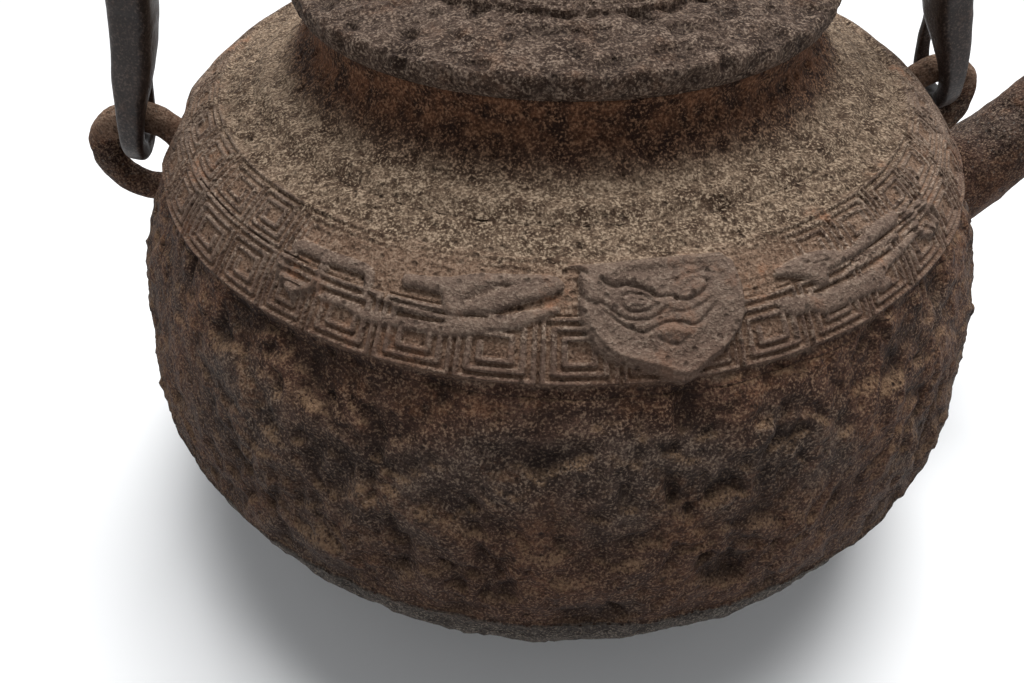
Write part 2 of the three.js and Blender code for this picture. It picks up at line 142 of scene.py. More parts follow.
class CastNoise:
    """Seeded lattice noise that roughens metal, the same on every run."""

    def __init__(self, seed: int) -> None:
        """Draw the lattice's order and slopes."""
        draw = np.random.default_rng(seed)
        self.order = np.tile(draw.permutation(256), 2)
        self.slopes = unit(draw.normal(size=(256, 3)))

    def at(self, points: Array) -> Array:
        """Give noise of about -1 to 1 at each row of three coordinates."""
        cell = np.floor(points).astype(int)
        inside = points - cell
        fade = inside**3 * (inside * (inside * 6 - 15) + 10)
        cell &= 255
        total = np.zeros(len(points))
        for corner in np.ndindex(2, 2, 2):
            x, y, z = ((cell + corner) & 255).T
            slope = self.slopes[self.order[self.order[self.order[x] + y] + z]]
            share = np.prod(np.where(corner, fade, 1 - fade), axis=1)
            total += share * np.einsum("ij,ij->i", slope, inside - corner)
        return total * 1.6

    def layers(self, points: Array, octaves: int, gain: float = 0.5) -> Array:
        """Add up ever finer noise, each layer by gain weaker than the last."""
        total = np.zeros(len(points))
        for octave in range(octaves):
            total += gain**octave * self.at(points * 2**octave + 17.3 * octave)
        return total


SKIN = CastNoise(11)
ROCK = CastNoise(29)
WEAR = CastNoise(47)


@dataclass(frozen=True)
class Run:
    """A stretch of meridian: where it lies, how far along, and which way is out."""

    points: Array
    arc: Array
    out: Array

    @classmethod
    def even(cls, points: Array, spacing: float, start: float = 0.0) -> "Run":
        """Respace a path from the mouth towards the base.

        Args:
            points: Rows of radius and height along the outside.
            spacing: Wanted distance between stations.
            start: Arc length given to the first station.

        Returns:
            The respaced run.
        """
        points = np.asarray(points, float)
        steps = np.hypot(*np.diff(points, axis=0).T)
        along = np.r_[0, np.cumsum(steps)]
        wanted = np.linspace(0, along[-1], max(2, round(along[-1] / spacing) + 1))
        even = np.stack([np.interp(wanted, along, column) for column in points.T], 1)
        slope = unit(np.gradient(even, axis=0))
        return cls(even, start + wanted, np.stack([-slope[:, 1], slope[:, 0]], 1))

    def part(self, first: float, last: float) -> "Run":
        """Cut out the stations between two arc lengths, ends included."""
        keep = (self.arc >= first - 1e-6) & (self.arc <= last + 1e-6)
        return Run(self.points[keep], self.arc[keep], self.out[keep])


# Ornament


def distance_to_path(x: Array, y: Array, path: Corners, closed: bool = False) -> Array:
    """Measure how far points lie from a path of straight pieces.

    Args:
        x: First coordinates.
        y: Second coordinates.
        path: The path's corners.
        closed: Whether the last corner joins the first.

    Returns:
        The distances.
    """
    corners = list(path) + ([path[0]] if closed else [])
    best = np.full(x.shape, 1e9)
    for (ax, ay), (bx, by) in zip(corners, corners[1:]):
        dx, dy = bx - ax, by - ay
        share = np.clip(((x - ax) * dx + (y - ay) * dy) / max(dx * dx + dy * dy, 1e-9), 0, 1)
        best = np.minimum(best, (x - ax - share * dx) ** 2 + (y - ay - share * dy) ** 2)
    return np.sqrt(best)


def inside_path(x: Array, y: Array, path: Corners) -> Array:
    """Tell which points lie inside a closed path."""
    within = np.zeros(x.shape, bool)
    for (ax, ay), (bx, by) in zip(path, [*path[1:], path[0]]):
        if ay == by:
            continue
        within ^= ((ay > y) != (by > y)) & (x < (bx - ax) * (y - ay) / (by - ay) + ax)
    return within


@dataclass(frozen=True)
class SquareSpiral:
    """A square meander of one line that winds inwards, on a cell of unit half size."""

    turns: int = 3
    line: float = 0.2
    groove: float = 0.26

    def path(self) -> list[tuple[float, float]]:
        """List the corners of the winding line."""
        pitch = 1 / (self.turns + 0.35)
        corners = [(-1.0, 1.0)]
        for turn in range(self.turns):
            far = 1 - turn * pitch
            near = far - pitch
            corners += [(far, far), (far, -far), (-far, -far), (-far, near)]
        return corners

    def height(self, u: Array, v: Array, half_u: float, half_v: float) -> Array:
        """Give the line's relief, 0 in the grooves and 1 on the line.

        Args:
            u: Place across the cell, -1 to 1.
            v: Place up the cell, -1 to 1.
            half_u: Half the cell's width in millimetres.
            half_v: Half the cell's height in millimetres.

        Returns:
            The share of the full relief.
        """
        path = [(a * half_u, b * half_v) for a, b in self.path()]
        away = distance_to_path(u * half_u, v * half_v, path)
        return smooth(self.line + self.groove, self.line, away)


class Form(Enum):
    """How an ornament's shape changes the surface."""

    PLATE = "plate"
    CUSHION = "cushion"
    SUNK = "sunk"
    RIDGE = "ridge"
    GROOVE = "groove"


@dataclass(frozen=True)
class Figure:
    """One raised or sunk shape, in degrees round the kettle and millimetres of arc."""

    form: Form
    amount: float
    edge: float
    path: tuple[tuple[float, float], ...]

    def apply(self, x: Array, y: Array, relief: Array) -> Array:
        """Add the figure to a relief.

        Args:
            x: Degrees times the millimetres of one degree.
            y: Arc length in millimetres.
            relief: Height so far.

        Returns:
            The new height.
        """
        path = [(a * DEGREE, b) for a, b in self.path]
        amount = self.amount * FIGURE_DEPTH
        if self.form in (Form.RIDGE, Form.GROOVE):
            away = distance_to_path(x, y, path)
            line = np.exp(-((away / self.edge) ** 2) * 1.6)
            return relief + amount * line * (1 if self.form is Form.RIDGE else -1)
        away = distance_to_path(x, y, path, closed=True)
        depth = np.where(inside_path(x, y, path), away, -away)
        if self.form is Form.SUNK:
            return relief - amount * smooth(0, self.edge, depth)
        if self.form is Form.PLATE:
            rise = smooth(-0.12, self.edge, depth)
            return relief * (1 - rise) + amount * rise
        share = np.clip((depth + 0.1) / (self.edge * 1.3), 0, 1)
        rise = np.sqrt(1 - (1 - share) ** 2)
        return np.maximum(relief, amount * rise + relief * 0.25 * (1 - rise))


plate, cushion, sunk, ridge, groove = (partial(Figure, form) for form in Form)

LEFT_DRAGON = (
    cushion(1.15, 0.85, (
        (-31.6, 33.3), (-31.7, 31.6), (-31.0, 30.5), (-29.5, 30.3), (-26.0, 30.4), (-23.5, 30.3),
        (-21.2, 30.4), (-20.0, 31.1), (-19.6, 32.3), (-19.6, 35.1), (-20.0, 35.2), (-20.4, 35.0),
        (-20.8, 33.2), (-21.0, 32.4), (-22.0, 32.2), (-26.0, 32.4), (-29.5, 32.4), (-30.6, 32.9))),
    ridge(1.0, 0.95, (
        (-31.1, 33.9), (-31.7, 34.9), (-31.2, 36.3), (-30.0, 37.2), (-28.8, 37.6), (-27.6, 36.9),
        (-26.5, 35.8), (-26.3, 34.3), (-26.4, 32.8))),
    ridge(0.8, 0.9, ((-29.6, 37.6), (-28.8, 38.5))),
    cushion(1.2, 0.95, (
        (-25.8, 36.8), (-25.0, 36.1), (-23.0, 35.9), (-22.0, 36.2), (-20.0, 36.5), (-18.5, 36.2),
        (-15.5, 36.1), (-13.0, 36.2), (-11.0, 35.8), (-9.8, 34.8), (-8.0, 34.5), (-6.2, 34.2),
        (-4.8, 33.7), (-2.8, 33.0), (-1.0, 32.5), (0.8, 32.0), (1.6, 32.3), (1.5, 33.0),
        (0.0, 33.9), (-1.5, 34.7), (-3.5, 35.7), (-6.0, 36.6), (-8.5, 37.4), (-10.5, 37.8),
        (-13.5, 37.8), (-16.0, 37.9), (-17.5, 38.2), (-19.8, 38.2), (-22.0, 37.3), (-23.5, 37.6),
        (-25.2, 37.6))),
    cushion(1.35, 0.9, (
        (-16.4, 30.4), (-15.2, 30.2), (-13.0, 29.9), (-11.0, 29.5), (-9.5, 28.9), (-7.8, 28.4),
        (-5.5, 28.2), (-2.8, 28.0), (-0.2, 27.9), (1.2, 28.2), (1.9, 29.1), (1.8, 30.1),
        (1.0, 30.8), (-0.5, 31.3), (-2.0, 31.8), (-3.5, 32.5), (-5.0, 33.4), (-6.2, 33.9),
        (-7.8, 34.1), (-9.0, 34.7), (-10.0, 35.0), (-11.0, 34.4), (-11.4, 33.2), (-11.6, 32.3),
        (-14.5, 32.1), (-16.0, 32.3), (-16.6, 31.4))),
    sunk(0.55, 0.45, (
        (-9.2, 32.7), (-8.6, 31.6), (-7.5, 30.7), (-6.0, 29.9), (-4.5, 29.6), (-3.6, 29.8),
        (-4.5, 30.7), (-6.0, 32.1), (-7.2, 32.8), (-8.9, 33.0))),
    groove(0.3, 0.3, ((-9.2, 32.7), (-8.6, 31.6), (-7.5, 30.7), (-6.0, 29.9), (-3.6, 29.7))),
    ridge(0.5, 0.42, ((-7.6, 32.3), (-6.4, 31.7), (-5.4, 31.1), (-4.9, 30.6))),
    ridge(0.7, 0.5, ((-19.1, 34.1), (-18.5, 34.5), (-16.0, 34.7), (-13.5, 34.5), (-11.4, 34.3))),
)

RIGHT_DRAGON = (
    cushion(1.35, 0.95, (
        (26.1, 31.3), (26.6, 30.8), (28.1, 30.4), (29.7, 30.2), (31.7, 30.1), (33.5, 30.5),
        (34.9, 31.2), (36.1, 32.0), (37.8, 32.1), (41.1, 31.2), (44.4, 30.8), (47.8, 31.1),
        (48.1, 32.3), (46.7, 33.2), (42.2, 33.2), (38.1, 33.6), (35.6, 33.7), (33.1, 33.8),
        (32.6, 35.4), (31.8, 35.5), (30.8, 35.0), (29.9, 33.7), (28.9, 33.0), (27.3, 32.3),
        (26.2, 31.9))),
    cushion(1.2, 0.95, (
        (25.1, 35.5), (25.6, 35.0), (27.3, 35.1), (29.2, 35.4), (31.1, 36.0), (33.1, 35.9),
        (37.8, 36.2), (41.7, 35.9), (45.6, 35.7), (48.9, 35.7), (49.2, 36.8), (45.0, 37.3),
        (41.9, 37.6), (40.9, 38.2), (41.8, 39.0), (41.4, 39.9), (39.9, 40.2), (38.1, 39.4),
        (35.3, 39.2), (32.5, 39.2), (30.7, 39.1), (28.9, 37.8), (26.9, 37.9), (25.7, 36.8))),
    sunk(0.5, 0.45, (
        (29.6, 31.4), (31.1, 30.9), (33.1, 31.0), (34.7, 31.8), (35.6, 32.7), (33.9, 32.8),
        (31.7, 32.3))),
    ridge(0.5, 0.42, ((31.2, 31.5), (33.0, 31.8), (34.5, 32.3))),
    ridge(0.7, 0.5, ((36.0, 34.7), (40.0, 34.5), (45.5, 34.4))),
    ridge(1.0, 0.95, (
        (49.2, 32.6), (50.6, 33.6), (49.6, 35.1), (50.0, 37.0), (51.9, 38.0), (54.0, 37.5),
        (54.8, 35.9), (54.2, 34.3), (52.6, 33.4))),
)

MASK = (
    plate(1.75, 1.1, (
        (1.8, 26.4), (3.3, 26.0), (5.3, 25.9), (11.7, 25.6), (16.7, 25.7), (20.7, 26.2),
        (22.0, 28.0), (22.2, 30.8), (22.0, 33.2), (21.6, 35.2), (20.8, 37.0), (19.5, 38.5),
        (18.2, 40.1), (16.7, 41.2), (15.1, 43.0), (14.2, 43.8), (13.2, 43.8), (11.7, 42.3),
        (10.0, 41.2), (7.8, 40.4), (6.2, 39.5), (4.8, 38.0), (3.9, 36.2), (3.3, 34.1),
        (3.1, 32.0), (3.4, 30.0), (3.9, 28.0), (3.2, 27.0), (1.8, 26.8))),
    sunk(0.42, 0.9, (
        (5.0, 30.5), (4.9, 32.8), (5.3, 34.7), (6.2, 36.3), (7.2, 37.4), (8.2, 38.1), (10.2, 39.0),
        (11.9, 39.6), (13.2, 40.6), (14.2, 41.0), (14.9, 40.6), (15.8, 39.6), (17.0, 38.7),
        (18.1, 37.9), (19.3, 36.6), (20.1, 35.0), (20.5, 32.8), (20.4, 30.0), (19.4, 27.6),
        (16.0, 27.0), (10.0, 27.0), (6.6, 27.6))),
    ridge(0.45, 0.42, (
        (4.4, 32.8), (4.8, 34.8), (5.7, 36.4), (6.7, 37.8), (7.8, 38.6), (10.0, 39.6),
        (11.7, 40.2), (13.0, 41.2), (14.2, 41.6), (15.0, 41.2), (16.0, 40.2), (17.3, 39.3),
        (18.5, 38.5), (19.8, 37.0), (20.7, 35.2), (21.0, 32.8))),
    cushion(2.0, 0.8, (
        (3.7, 27.5), (5.0, 28.3), (5.7, 30.0), (5.8, 31.8), (5.2, 32.1), (4.1, 31.6),
        (3.5, 30.3), (3.4, 28.6))),
    groove(0.35, 0.3, ((3.5, 29.0), (3.6, 30.3), (4.1, 31.5), (5.2, 32.0), (5.8, 31.7))),
    ridge(0.45, 0.9, ((6.4, 28.2), (7.6, 28.6), (9.0, 28.5), (10.4, 29.1), (11.4, 30.0))),
    groove(0.55, 0.3, (
        (6.0, 28.8), (6.7, 29.3), (7.5, 29.7), (8.7, 29.5), (10.0, 30.0), (11.0, 30.6), (11.8, 31.3))),
    ridge(0.4, 0.8, ((8.9, 31.9), (10.2, 32.2), (11.0, 32.6))),
    groove(0.45, 0.27, (
        (8.0, 32.0), (8.2, 30.9), (9.1, 30.7), (10.3, 31.0), (11.3, 31.8), (11.7, 32.5),
        (10.9, 33.1), (10.0, 33.3), (9.0, 33.2), (8.3, 32.6), (8.0, 32.0))),
    groove(0.3, 0.22, (
        (8.7, 31.9), (9.3, 31.6), (10.3, 31.8), (10.9, 32.2), (10.2, 32.6), (9.2, 32.4), (8.7, 31.9))),
    groove(0.5, 0.28, ((11.4, 30.6), (11.7, 31.6), (13.7, 31.6), (14.0, 32.2))),
    ridge(0.4, 0.75, ((12.2, 32.8), (12.7, 32.3), (13.3, 32.8))),
    ridge(0.4, 0.75, ((14.9, 31.6), (16.0, 31.0), (17.1, 30.5))),
    groove(0.5, 0.27, (
        (17.9, 30.2), (17.7, 31.0), (16.7, 31.9), (15.5, 32.3), (14.5, 32.2), (14.0, 31.9))),
    groove(0.3, 0.24, ((14.0, 31.9), (14.7, 31.0), (15.8, 30.1), (17.2, 29.7), (17.9, 30.2))),
    groove(0.3, 0.22, ((14.9, 31.4), (15.8, 31.0), (16.8, 30.4))),
    groove(0.25, 0.25, ((13.9, 30.0), (14.5, 29.4), (15.7, 29.0), (17.3, 28.8), (18.5, 29.1))),
    groove(0.45, 0.27, (
        (6.0, 31.9), (7.2, 33.0), (8.3, 34.0), (9.3, 34.3), (10.8, 34.4), (12.0, 33.8), (12.7, 33.0))),
    groove(0.35, 0.27, ((13.7, 33.6), (14.5, 33.8), (15.5, 33.6), (16.7, 33.2), (17.9, 32.5))),
    groove(0.5, 0.28, (
        (6.2, 32.8), (7.2, 34.0), (8.3, 35.1), (9.5, 35.8), (10.4, 36.0), (11.2, 35.5),
        (12.3, 35.0), (13.3, 34.9), (14.3, 35.1), (15.1, 35.6), (15.8, 35.6), (16.7, 34.9),
        (17.7, 34.0), (18.2, 33.3))),
    ridge(0.35, 0.9, ((12.3, 36.1), (13.3, 35.9), (14.2, 36.2))),
    groove(0.35, 0.28, ((11.8, 37.1), (12.8, 37.8), (13.7, 38.0), (14.7, 37.1))),
    groove(0.28, 0.24, ((9.3, 36.2), (9.8, 36.8), (9.9, 38.2))),
    groove(0.28, 0.24, ((10.7, 36.6), (10.7, 37.8), (11.3, 39.2))),
    groove(0.28, 0.24, ((16.4, 36.4), (15.8, 37.6), (15.0, 38.8))),
    groove(0.25, 0.24, ((5.8, 33.4), (6.3, 35.2), (7.3, 37.0))),
)


@dataclass(frozen=True)
class OrnamentBand:
    """Two rows of square meanders with a mask between two dragons, front and back."""

    turn: float = -10.4
    gaps: tuple[float, ...] = (
        -59.4, -50.5, -41.0, -33.0, -26.3, -17.8, -9.2, -0.6, 7.6, 13.8, 19.9, 28.3, 37.0, 45.4, 54.3)
    plain_columns: int = 14
    rows: tuple[tuple[float, float], ...] = ((25.5, 33.3), (33.7, 42.5))
    gap_width: float = 1.0
    line_height: float = 0.58
    plate: float = 0.18
    reach: float = 4.05
    figure_arcs: tuple[float, float] = (24.5, 45.5)
    spiral: SquareSpiral = field(default_factory=SquareSpiral)

    def columns(self) -> Array:
        """List the gaps between squares over the half turn that repeats."""
        first, last = self.gaps[0], self.gaps[-1]
        rest = np.linspace(last, first + 180, self.plain_columns // 2 + 1)[1:-1]
        return np.r_[self.gaps, rest, first + 180]

    def height(self, azimuth: Array, arc: Array, place: Array) -> Array:
        """Give the ornament's relief over the plain wall.

        Args:
            azimuth: Degrees from the front, positive towards the spout.
            arc: Millimetres along the outside, down from the mouth.
            place: Rows of x, y, z, for the wear.

        Returns:
            Height in millimetres.
        """
        drift = SKIN.at(place / 9.0) * 0.14
        edges = self.columns()
        angle = np.mod(azimuth - self.turn - edges[0], 180) + edges[0]
        angle = angle + drift * 0.8
        along = arc + SKIN.at(place / 7.0 + 40) * 0.13
        column = np.clip(np.searchsorted(edges, angle, side="right") - 1, 0, len(edges) - 2)
        start, end = edges[column], edges[column + 1]
        radius = from_axis(place)
        half_width = (end - start) / 2 * np.radians(1) * radius - self.gap_width / 2
        across = (angle - (start + end) / 2) * np.radians(1) * radius
        flip = np.where(column % 2 == 0, 1.0, -1.0)
        relief = np.zeros(len(arc))
        for low, high in self.rows:
            half = (high - low) / 2 - 0.15
            up = along - (low + high) / 2
            within = (np.abs(across) < half_width + 0.45) & (np.abs(up) < half + 0.45)
            edge = smooth(0.42, 0.1, np.maximum(np.abs(across) - half_width, np.abs(up) - half))
            line = edge * self.spiral.height(flip * across / half_width, -up / half, self.reach, half)
            worn = self._wear(angle, low, place)
            relief = np.where(within, (self.plate * edge + self.line_height * line) * worn, relief)
        near = (arc > self.figure_arcs[0]) & (arc < self.figure_arcs[1])
        x, y, figures = angle[near] * DEGREE, along[near], relief[near]
        for figure in (*LEFT_DRAGON, *RIGHT_DRAGON, *MASK):
            figures = figure.apply(x, y, figures)
        relief[near] = figures
        return relief

    @staticmethod
    def _wear(angle: Array, low: float, place: Array) -> Array:
        """Say how much of the meander is left, from the worn middle to the crisp sides."""
        patch = 0.85 + 0.35 * WEAR.layers(place / 11.0, 2)
        if low < 30:
            side = smooth(22, 40, np.abs(angle - 2))
            return np.clip(patch * (0.35 + 0.6 * side), 0.15, 1.05)
        return np.clip(patch * 1.05, 0.6, 1.1)


# Meshes


def finish_object(name: str, mesh: bpy.types.Mesh, sharp: float = 50.0) -> bpy.types.Object:
    """Wrap a mesh in metres as an object in the scene.

    Args:
        name: The piece's name.
        mesh: Its mesh, already in place.
        sharp: Angle in degrees past which an edge is kept sharp.

    Returns:
        The object.
    """
    mesh.name = name
    mesh.shade_smooth()
    mesh.set_sharp_from_angle(angle=math.radians(sharp))
    obj = bpy.data.objects.new(name, mesh)
    bpy.context.scene.collection.objects.link(obj)
    return obj


def to_mesh(bm: bmesh.types.BMesh, name: str) -> bpy.types.Mesh:
    """Turn a finished bmesh into a mesh and free it."""
    mesh = bpy.data.meshes.new(name)
    bm.to_mesh(mesh)
    bm.free()
    return mesh


def read_rows(mesh: bpy.types.Mesh, kind: str = "co") -> Array:
    """Copy a mesh's vertex places, or its normals, out as rows."""
    flat = np.empty(len(mesh.vertices) * 3)
    mesh.vertices.foreach_get(kind, flat)
    return flat.reshape(-1, 3)


def write_rows(mesh: bpy.types.Mesh, rows: Array) -> None:
    """Copy rows back into a mesh's vertices."""
    mesh.vertices.foreach_set("co", np.ascontiguousarray(rows, float).ravel())
    mesh.update()


def read_layer(mesh: bpy.types.Mesh, name: str) -> Array:
    """Copy a float layer out and drop it from the mesh."""
    values = np.empty(len(mesh.vertices))
    mesh.attributes[name].data.foreach_get("value", values)
    mesh.attributes.remove(mesh.attributes[name])
    return values


def write_layer(mesh: bpy.types.Mesh, name: str, values: Array) -> None:
    """Keep a float for each vertex, for the finish to read."""
    layer = mesh.attributes.get(name) or mesh.attributes.new(name, "FLOAT", "POINT")
    layer.data.foreach_set("value", np.ascontiguousarray(values, np.float32))


def plain(azimuth: Array, arc: Array, place: Array) -> Array:
    """Leave a wall as it is: a relief of no height."""
    return np.zeros(len(arc))


def spin_about(bm: bmesh.types.BMesh, geom: list, sweep: float, steps: int, copies: bool = False) -> None:
    """Spin geometry round the upright axis, as a surface or as copies."""
    if steps > 0:
        bmesh.ops.spin(
            bm, geom=geom, cent=(0, 0, 0), axis=(0, 0, 1), dvec=(0, 0, 0),
            angle=math.radians(sweep), steps=steps, use_duplicate=copies)


def spun_wall(
    name: str,
    outside: Run,
    inside: Corners,
    relief: Relief,
    steps: int,
    start: float = 0.0,
    sweep: float = 360.0,
) -> bpy.types.Mesh:
    """Spin a slice of wall round the axis and raise its outside.

    Args:
        name: The mesh's name.
        outside: The slice's outer stations, which the relief moves.
        inside: Radius and height of its other corners, back to the first station.
        relief: Height over azimuth, arc and place.
        steps: Facets of the sweep.
        start: First azimuth, degrees from the front.
        sweep: Degrees covered, 360 for a ring.

    Returns:
        The closed mesh, in metres.
    """
    bm = bmesh.new()
    names = ("arc", "out_r", "out_z", "skin")
    layers = [bm.verts.layers.float.new(layer) for layer in names]
    first = math.radians(start - 90)
    rows = [(*p, a, *o, 1.0) for p, a, o in zip(outside.points, outside.arc, outside.out)]
    rows += [(radius, height, 0.0, 0.0, 0.0, 0.0) for radius, height in inside]
    corners = []
    for radius, height, *values in rows:
        vert = bm.verts.new((radius * math.cos(first), radius * math.sin(first), height))
        for layer, value in zip(layers, values):
            vert[layer] = value
        corners.append(vert)
    pairs = list(zip(corners, corners[1:] + corners[:1]))
    pole = [v for v, row in zip(corners, rows) if row[0] < 1e-6]
    edges = [bm.edges.new(pair) for pair in pairs if not (pair[0] in pole and pair[1] in pole)]
    sectors = max(n for n in range(1, math.isqrt(steps) + 1) if steps % n == 0)
    spin_about(bm, [*corners, *edges], sweep / sectors, steps // sectors)
    spin_about(bm, [*bm.verts, *bm.edges, *bm.faces], sweep / sectors * (sectors - 1), sectors - 1, True)
    bmesh.ops.remove_doubles(bm, verts=bm.verts, dist=1e-4)
    open_edges = [e for e in bm.edges if e.is_boundary]
    if open_edges:
        bmesh.ops.holes_fill(bm, edges=open_edges, sides=0)
    bmesh.ops.recalc_face_normals(bm, faces=bm.faces)
    mesh = to_mesh(bm, name)
    arc, out_r, out_z, skin = (read_layer(mesh, layer) for layer in names)
    place = read_rows(mesh)
    around = np.arctan2(place[:, 1], place[:, 0])
    azimuth = (np.degrees(around) + 90 + 180) % 360 - 180
    moved = skin > 0.5
    height = np.zeros(len(place))
    height[moved] = relief(azimuth[moved], arc[moved], place[moved])
    out = np.stack([out_r * np.cos(around), out_r * np.sin(around), out_z], 1)
    write_rows(mesh, (place + out * height[:, None]) * MM)
    write_layer(mesh, "relief", height)
    write_layer(mesh, "ledge", np.where(moved, read_rows(mesh, "normal")[:, 2] - out_z, 0))
    return mesh


def straight_bar(sides: int, rings: int, name: str) -> bpy.types.Mesh:
    """Make a round bar of unit radius from z = 0 to 1, cut into rings."""
    bm = bmesh.new()
    bmesh.ops.create_cone(
        bm, cap_ends=True, segments=sides, radius1=1, radius2=1, depth=1,
        matrix=Matrix.Translation((0, 0, 0.5)))
    upright = [e for e in bm.edges if abs(e.verts[0].co.z - e.verts[1].co.z) > 0.5]
    bmesh.ops.subdivide_edges(bm, edges=upright, cuts=rings - 1, use_grid_fill=True)
    return to_mesh(bm, name)


@dataclass
class Sweep:
    """Stations of a bent bar: centre, across and size, read at any share of its length."""

    centre: Array
    across: Array
    size: Array

    def bend(self, mesh: bpy.types.Mesh, squareness: float) -> Array:
        """Bend a straight bar along the stations.

        Args:
            mesh: A bar from straight_bar.
            squareness: 2 for an oval section, higher for a squarer one.

        Returns:
            The new vertex rows in millimetres; the mesh isn't changed.
        """
        place = read_rows(mesh)
        steps = np.linalg.norm(np.diff(self.centre, axis=0), axis=1)
        along = np.r_[0, np.cumsum(steps)] / steps.sum()
        slope = np.gradient(self.centre, along, axis=0)
        share = place[:, 2]

        def read(rows: Array) -> Array:
            """Read the stations' values at the bar's own shares."""
            return np.stack([np.interp(share, along, column) for column in rows.T], 1)

        tangent = unit(read(slope))
        across = read(self.across)
        across = unit(across - tangent * np.einsum("ij,ij->i", across, tangent)[:, None])
        deep = np.cross(across, tangent)
        angle = np.arctan2(place[:, 1], place[:, 0])
        radius = from_axis(place)
        power = 2 / squareness
        flat = [np.sign(f) * np.abs(f) ** power * radius for f in (np.cos(angle), np.sin(angle))]
        half = read(self.size) / 2
        return (read(self.centre) + across * (flat[0] * half[:, 0])[:, None]
                + deep * (flat[1] * half[:, 1])[:, None])


def roughen(mesh: bpy.types.Mesh, rows: Array, amount: Callable[[Array], Array]) -> None:
    """Write rows to a mesh and move them along their normals.

    Args:
        mesh: The mesh to fill.
        rows: Vertex rows in millimetres.
        amount: Height in millimetres at given rows.
    """
    write_rows(mesh, rows * MM)
    bm = bmesh.new()
    bm.from_mesh(mesh)
    bmesh.ops.recalc_face_normals(bm, faces=bm.faces)
    bm.to_mesh(mesh)
    bm.free()
    height = amount(rows)
    write_rows(mesh, (rows + read_rows(mesh, "normal") * height[:, None]) * MM)
    write_layer(mesh, "relief", height)


def apply_modifiers(obj: bpy.types.Object) -> None:
    """Replace an object's mesh with what its modifiers make of it."""
    made = obj.evaluated_get(bpy.context.evaluated_depsgraph_get())
    mesh = bpy.data.meshes.new_from_object(made)
    obj.modifiers.clear()
    old, obj.data = obj.data, mesh
    mesh.name = obj.name
    bpy.data.meshes.remove(old)


def cut_out(obj: bpy.types.Object, cutter: bpy.types.Object) -> None:
    """Cut one object's shape out of another and drop the cutter."""
    step = obj.modifiers.new("cut", "BOOLEAN")
    step.operation = "DIFFERENCE"
    step.solver = "EXACT"
    step.object = cutter
    apply_modifiers(obj)
    scrap = cutter.data
    bpy.data.objects.remove(cutter)
    bpy.data.meshes.remove(scrap)


# Shader building


class Wire:
    """A shader value that grows its own maths nodes when used in an expression."""

    def __init__(self, shader: "Shader", socket: bpy.types.NodeSocket) -> None:
        """Hold a socket of a shader."""
        self.shader = shader
        self.socket = socket

    def _math(self, operation: str, first: "Wire | float", second: "Wire | float") -> "Wire":
        """Add one Math node."""
        return self.shader.node("ShaderNodeMath", {"operation": operation}, {0: first, 1: second})

    def __add__(self, other: "Wire | float") -> "Wire":
        """Add."""
        return self._math("ADD", self, other)

    __radd__ = __add__

    def __sub__(self, other: "Wire | float") -> "Wire":
        """Subtract."""
        return self._math("SUBTRACT", self, other)

    def __rsub__(self, other: float) -> "Wire":
        """Subtract from a number."""
        return self._math("SUBTRACT", other, self)

    def __mul__(self, other: "Wire | float") -> "Wire":
        """Multiply."""
        return self._math("MULTIPLY", self, other)

    __rmul__ = __mul__

    def __pow__(self, other: float) -> "Wire":
        """Raise to a power."""
        return self._math("POWER", self, other)

    def __or__(self, other: "Wire") -> "Wire":
        """Take the larger, which joins two yes-or-no values."""
        return self._math("MAXIMUM", self, other)

    def beside(self, output: str) -> "Wire":
        """Give another output of the node that this one comes from."""
        return Wire(self.shader, self.socket.node.outputs[output])


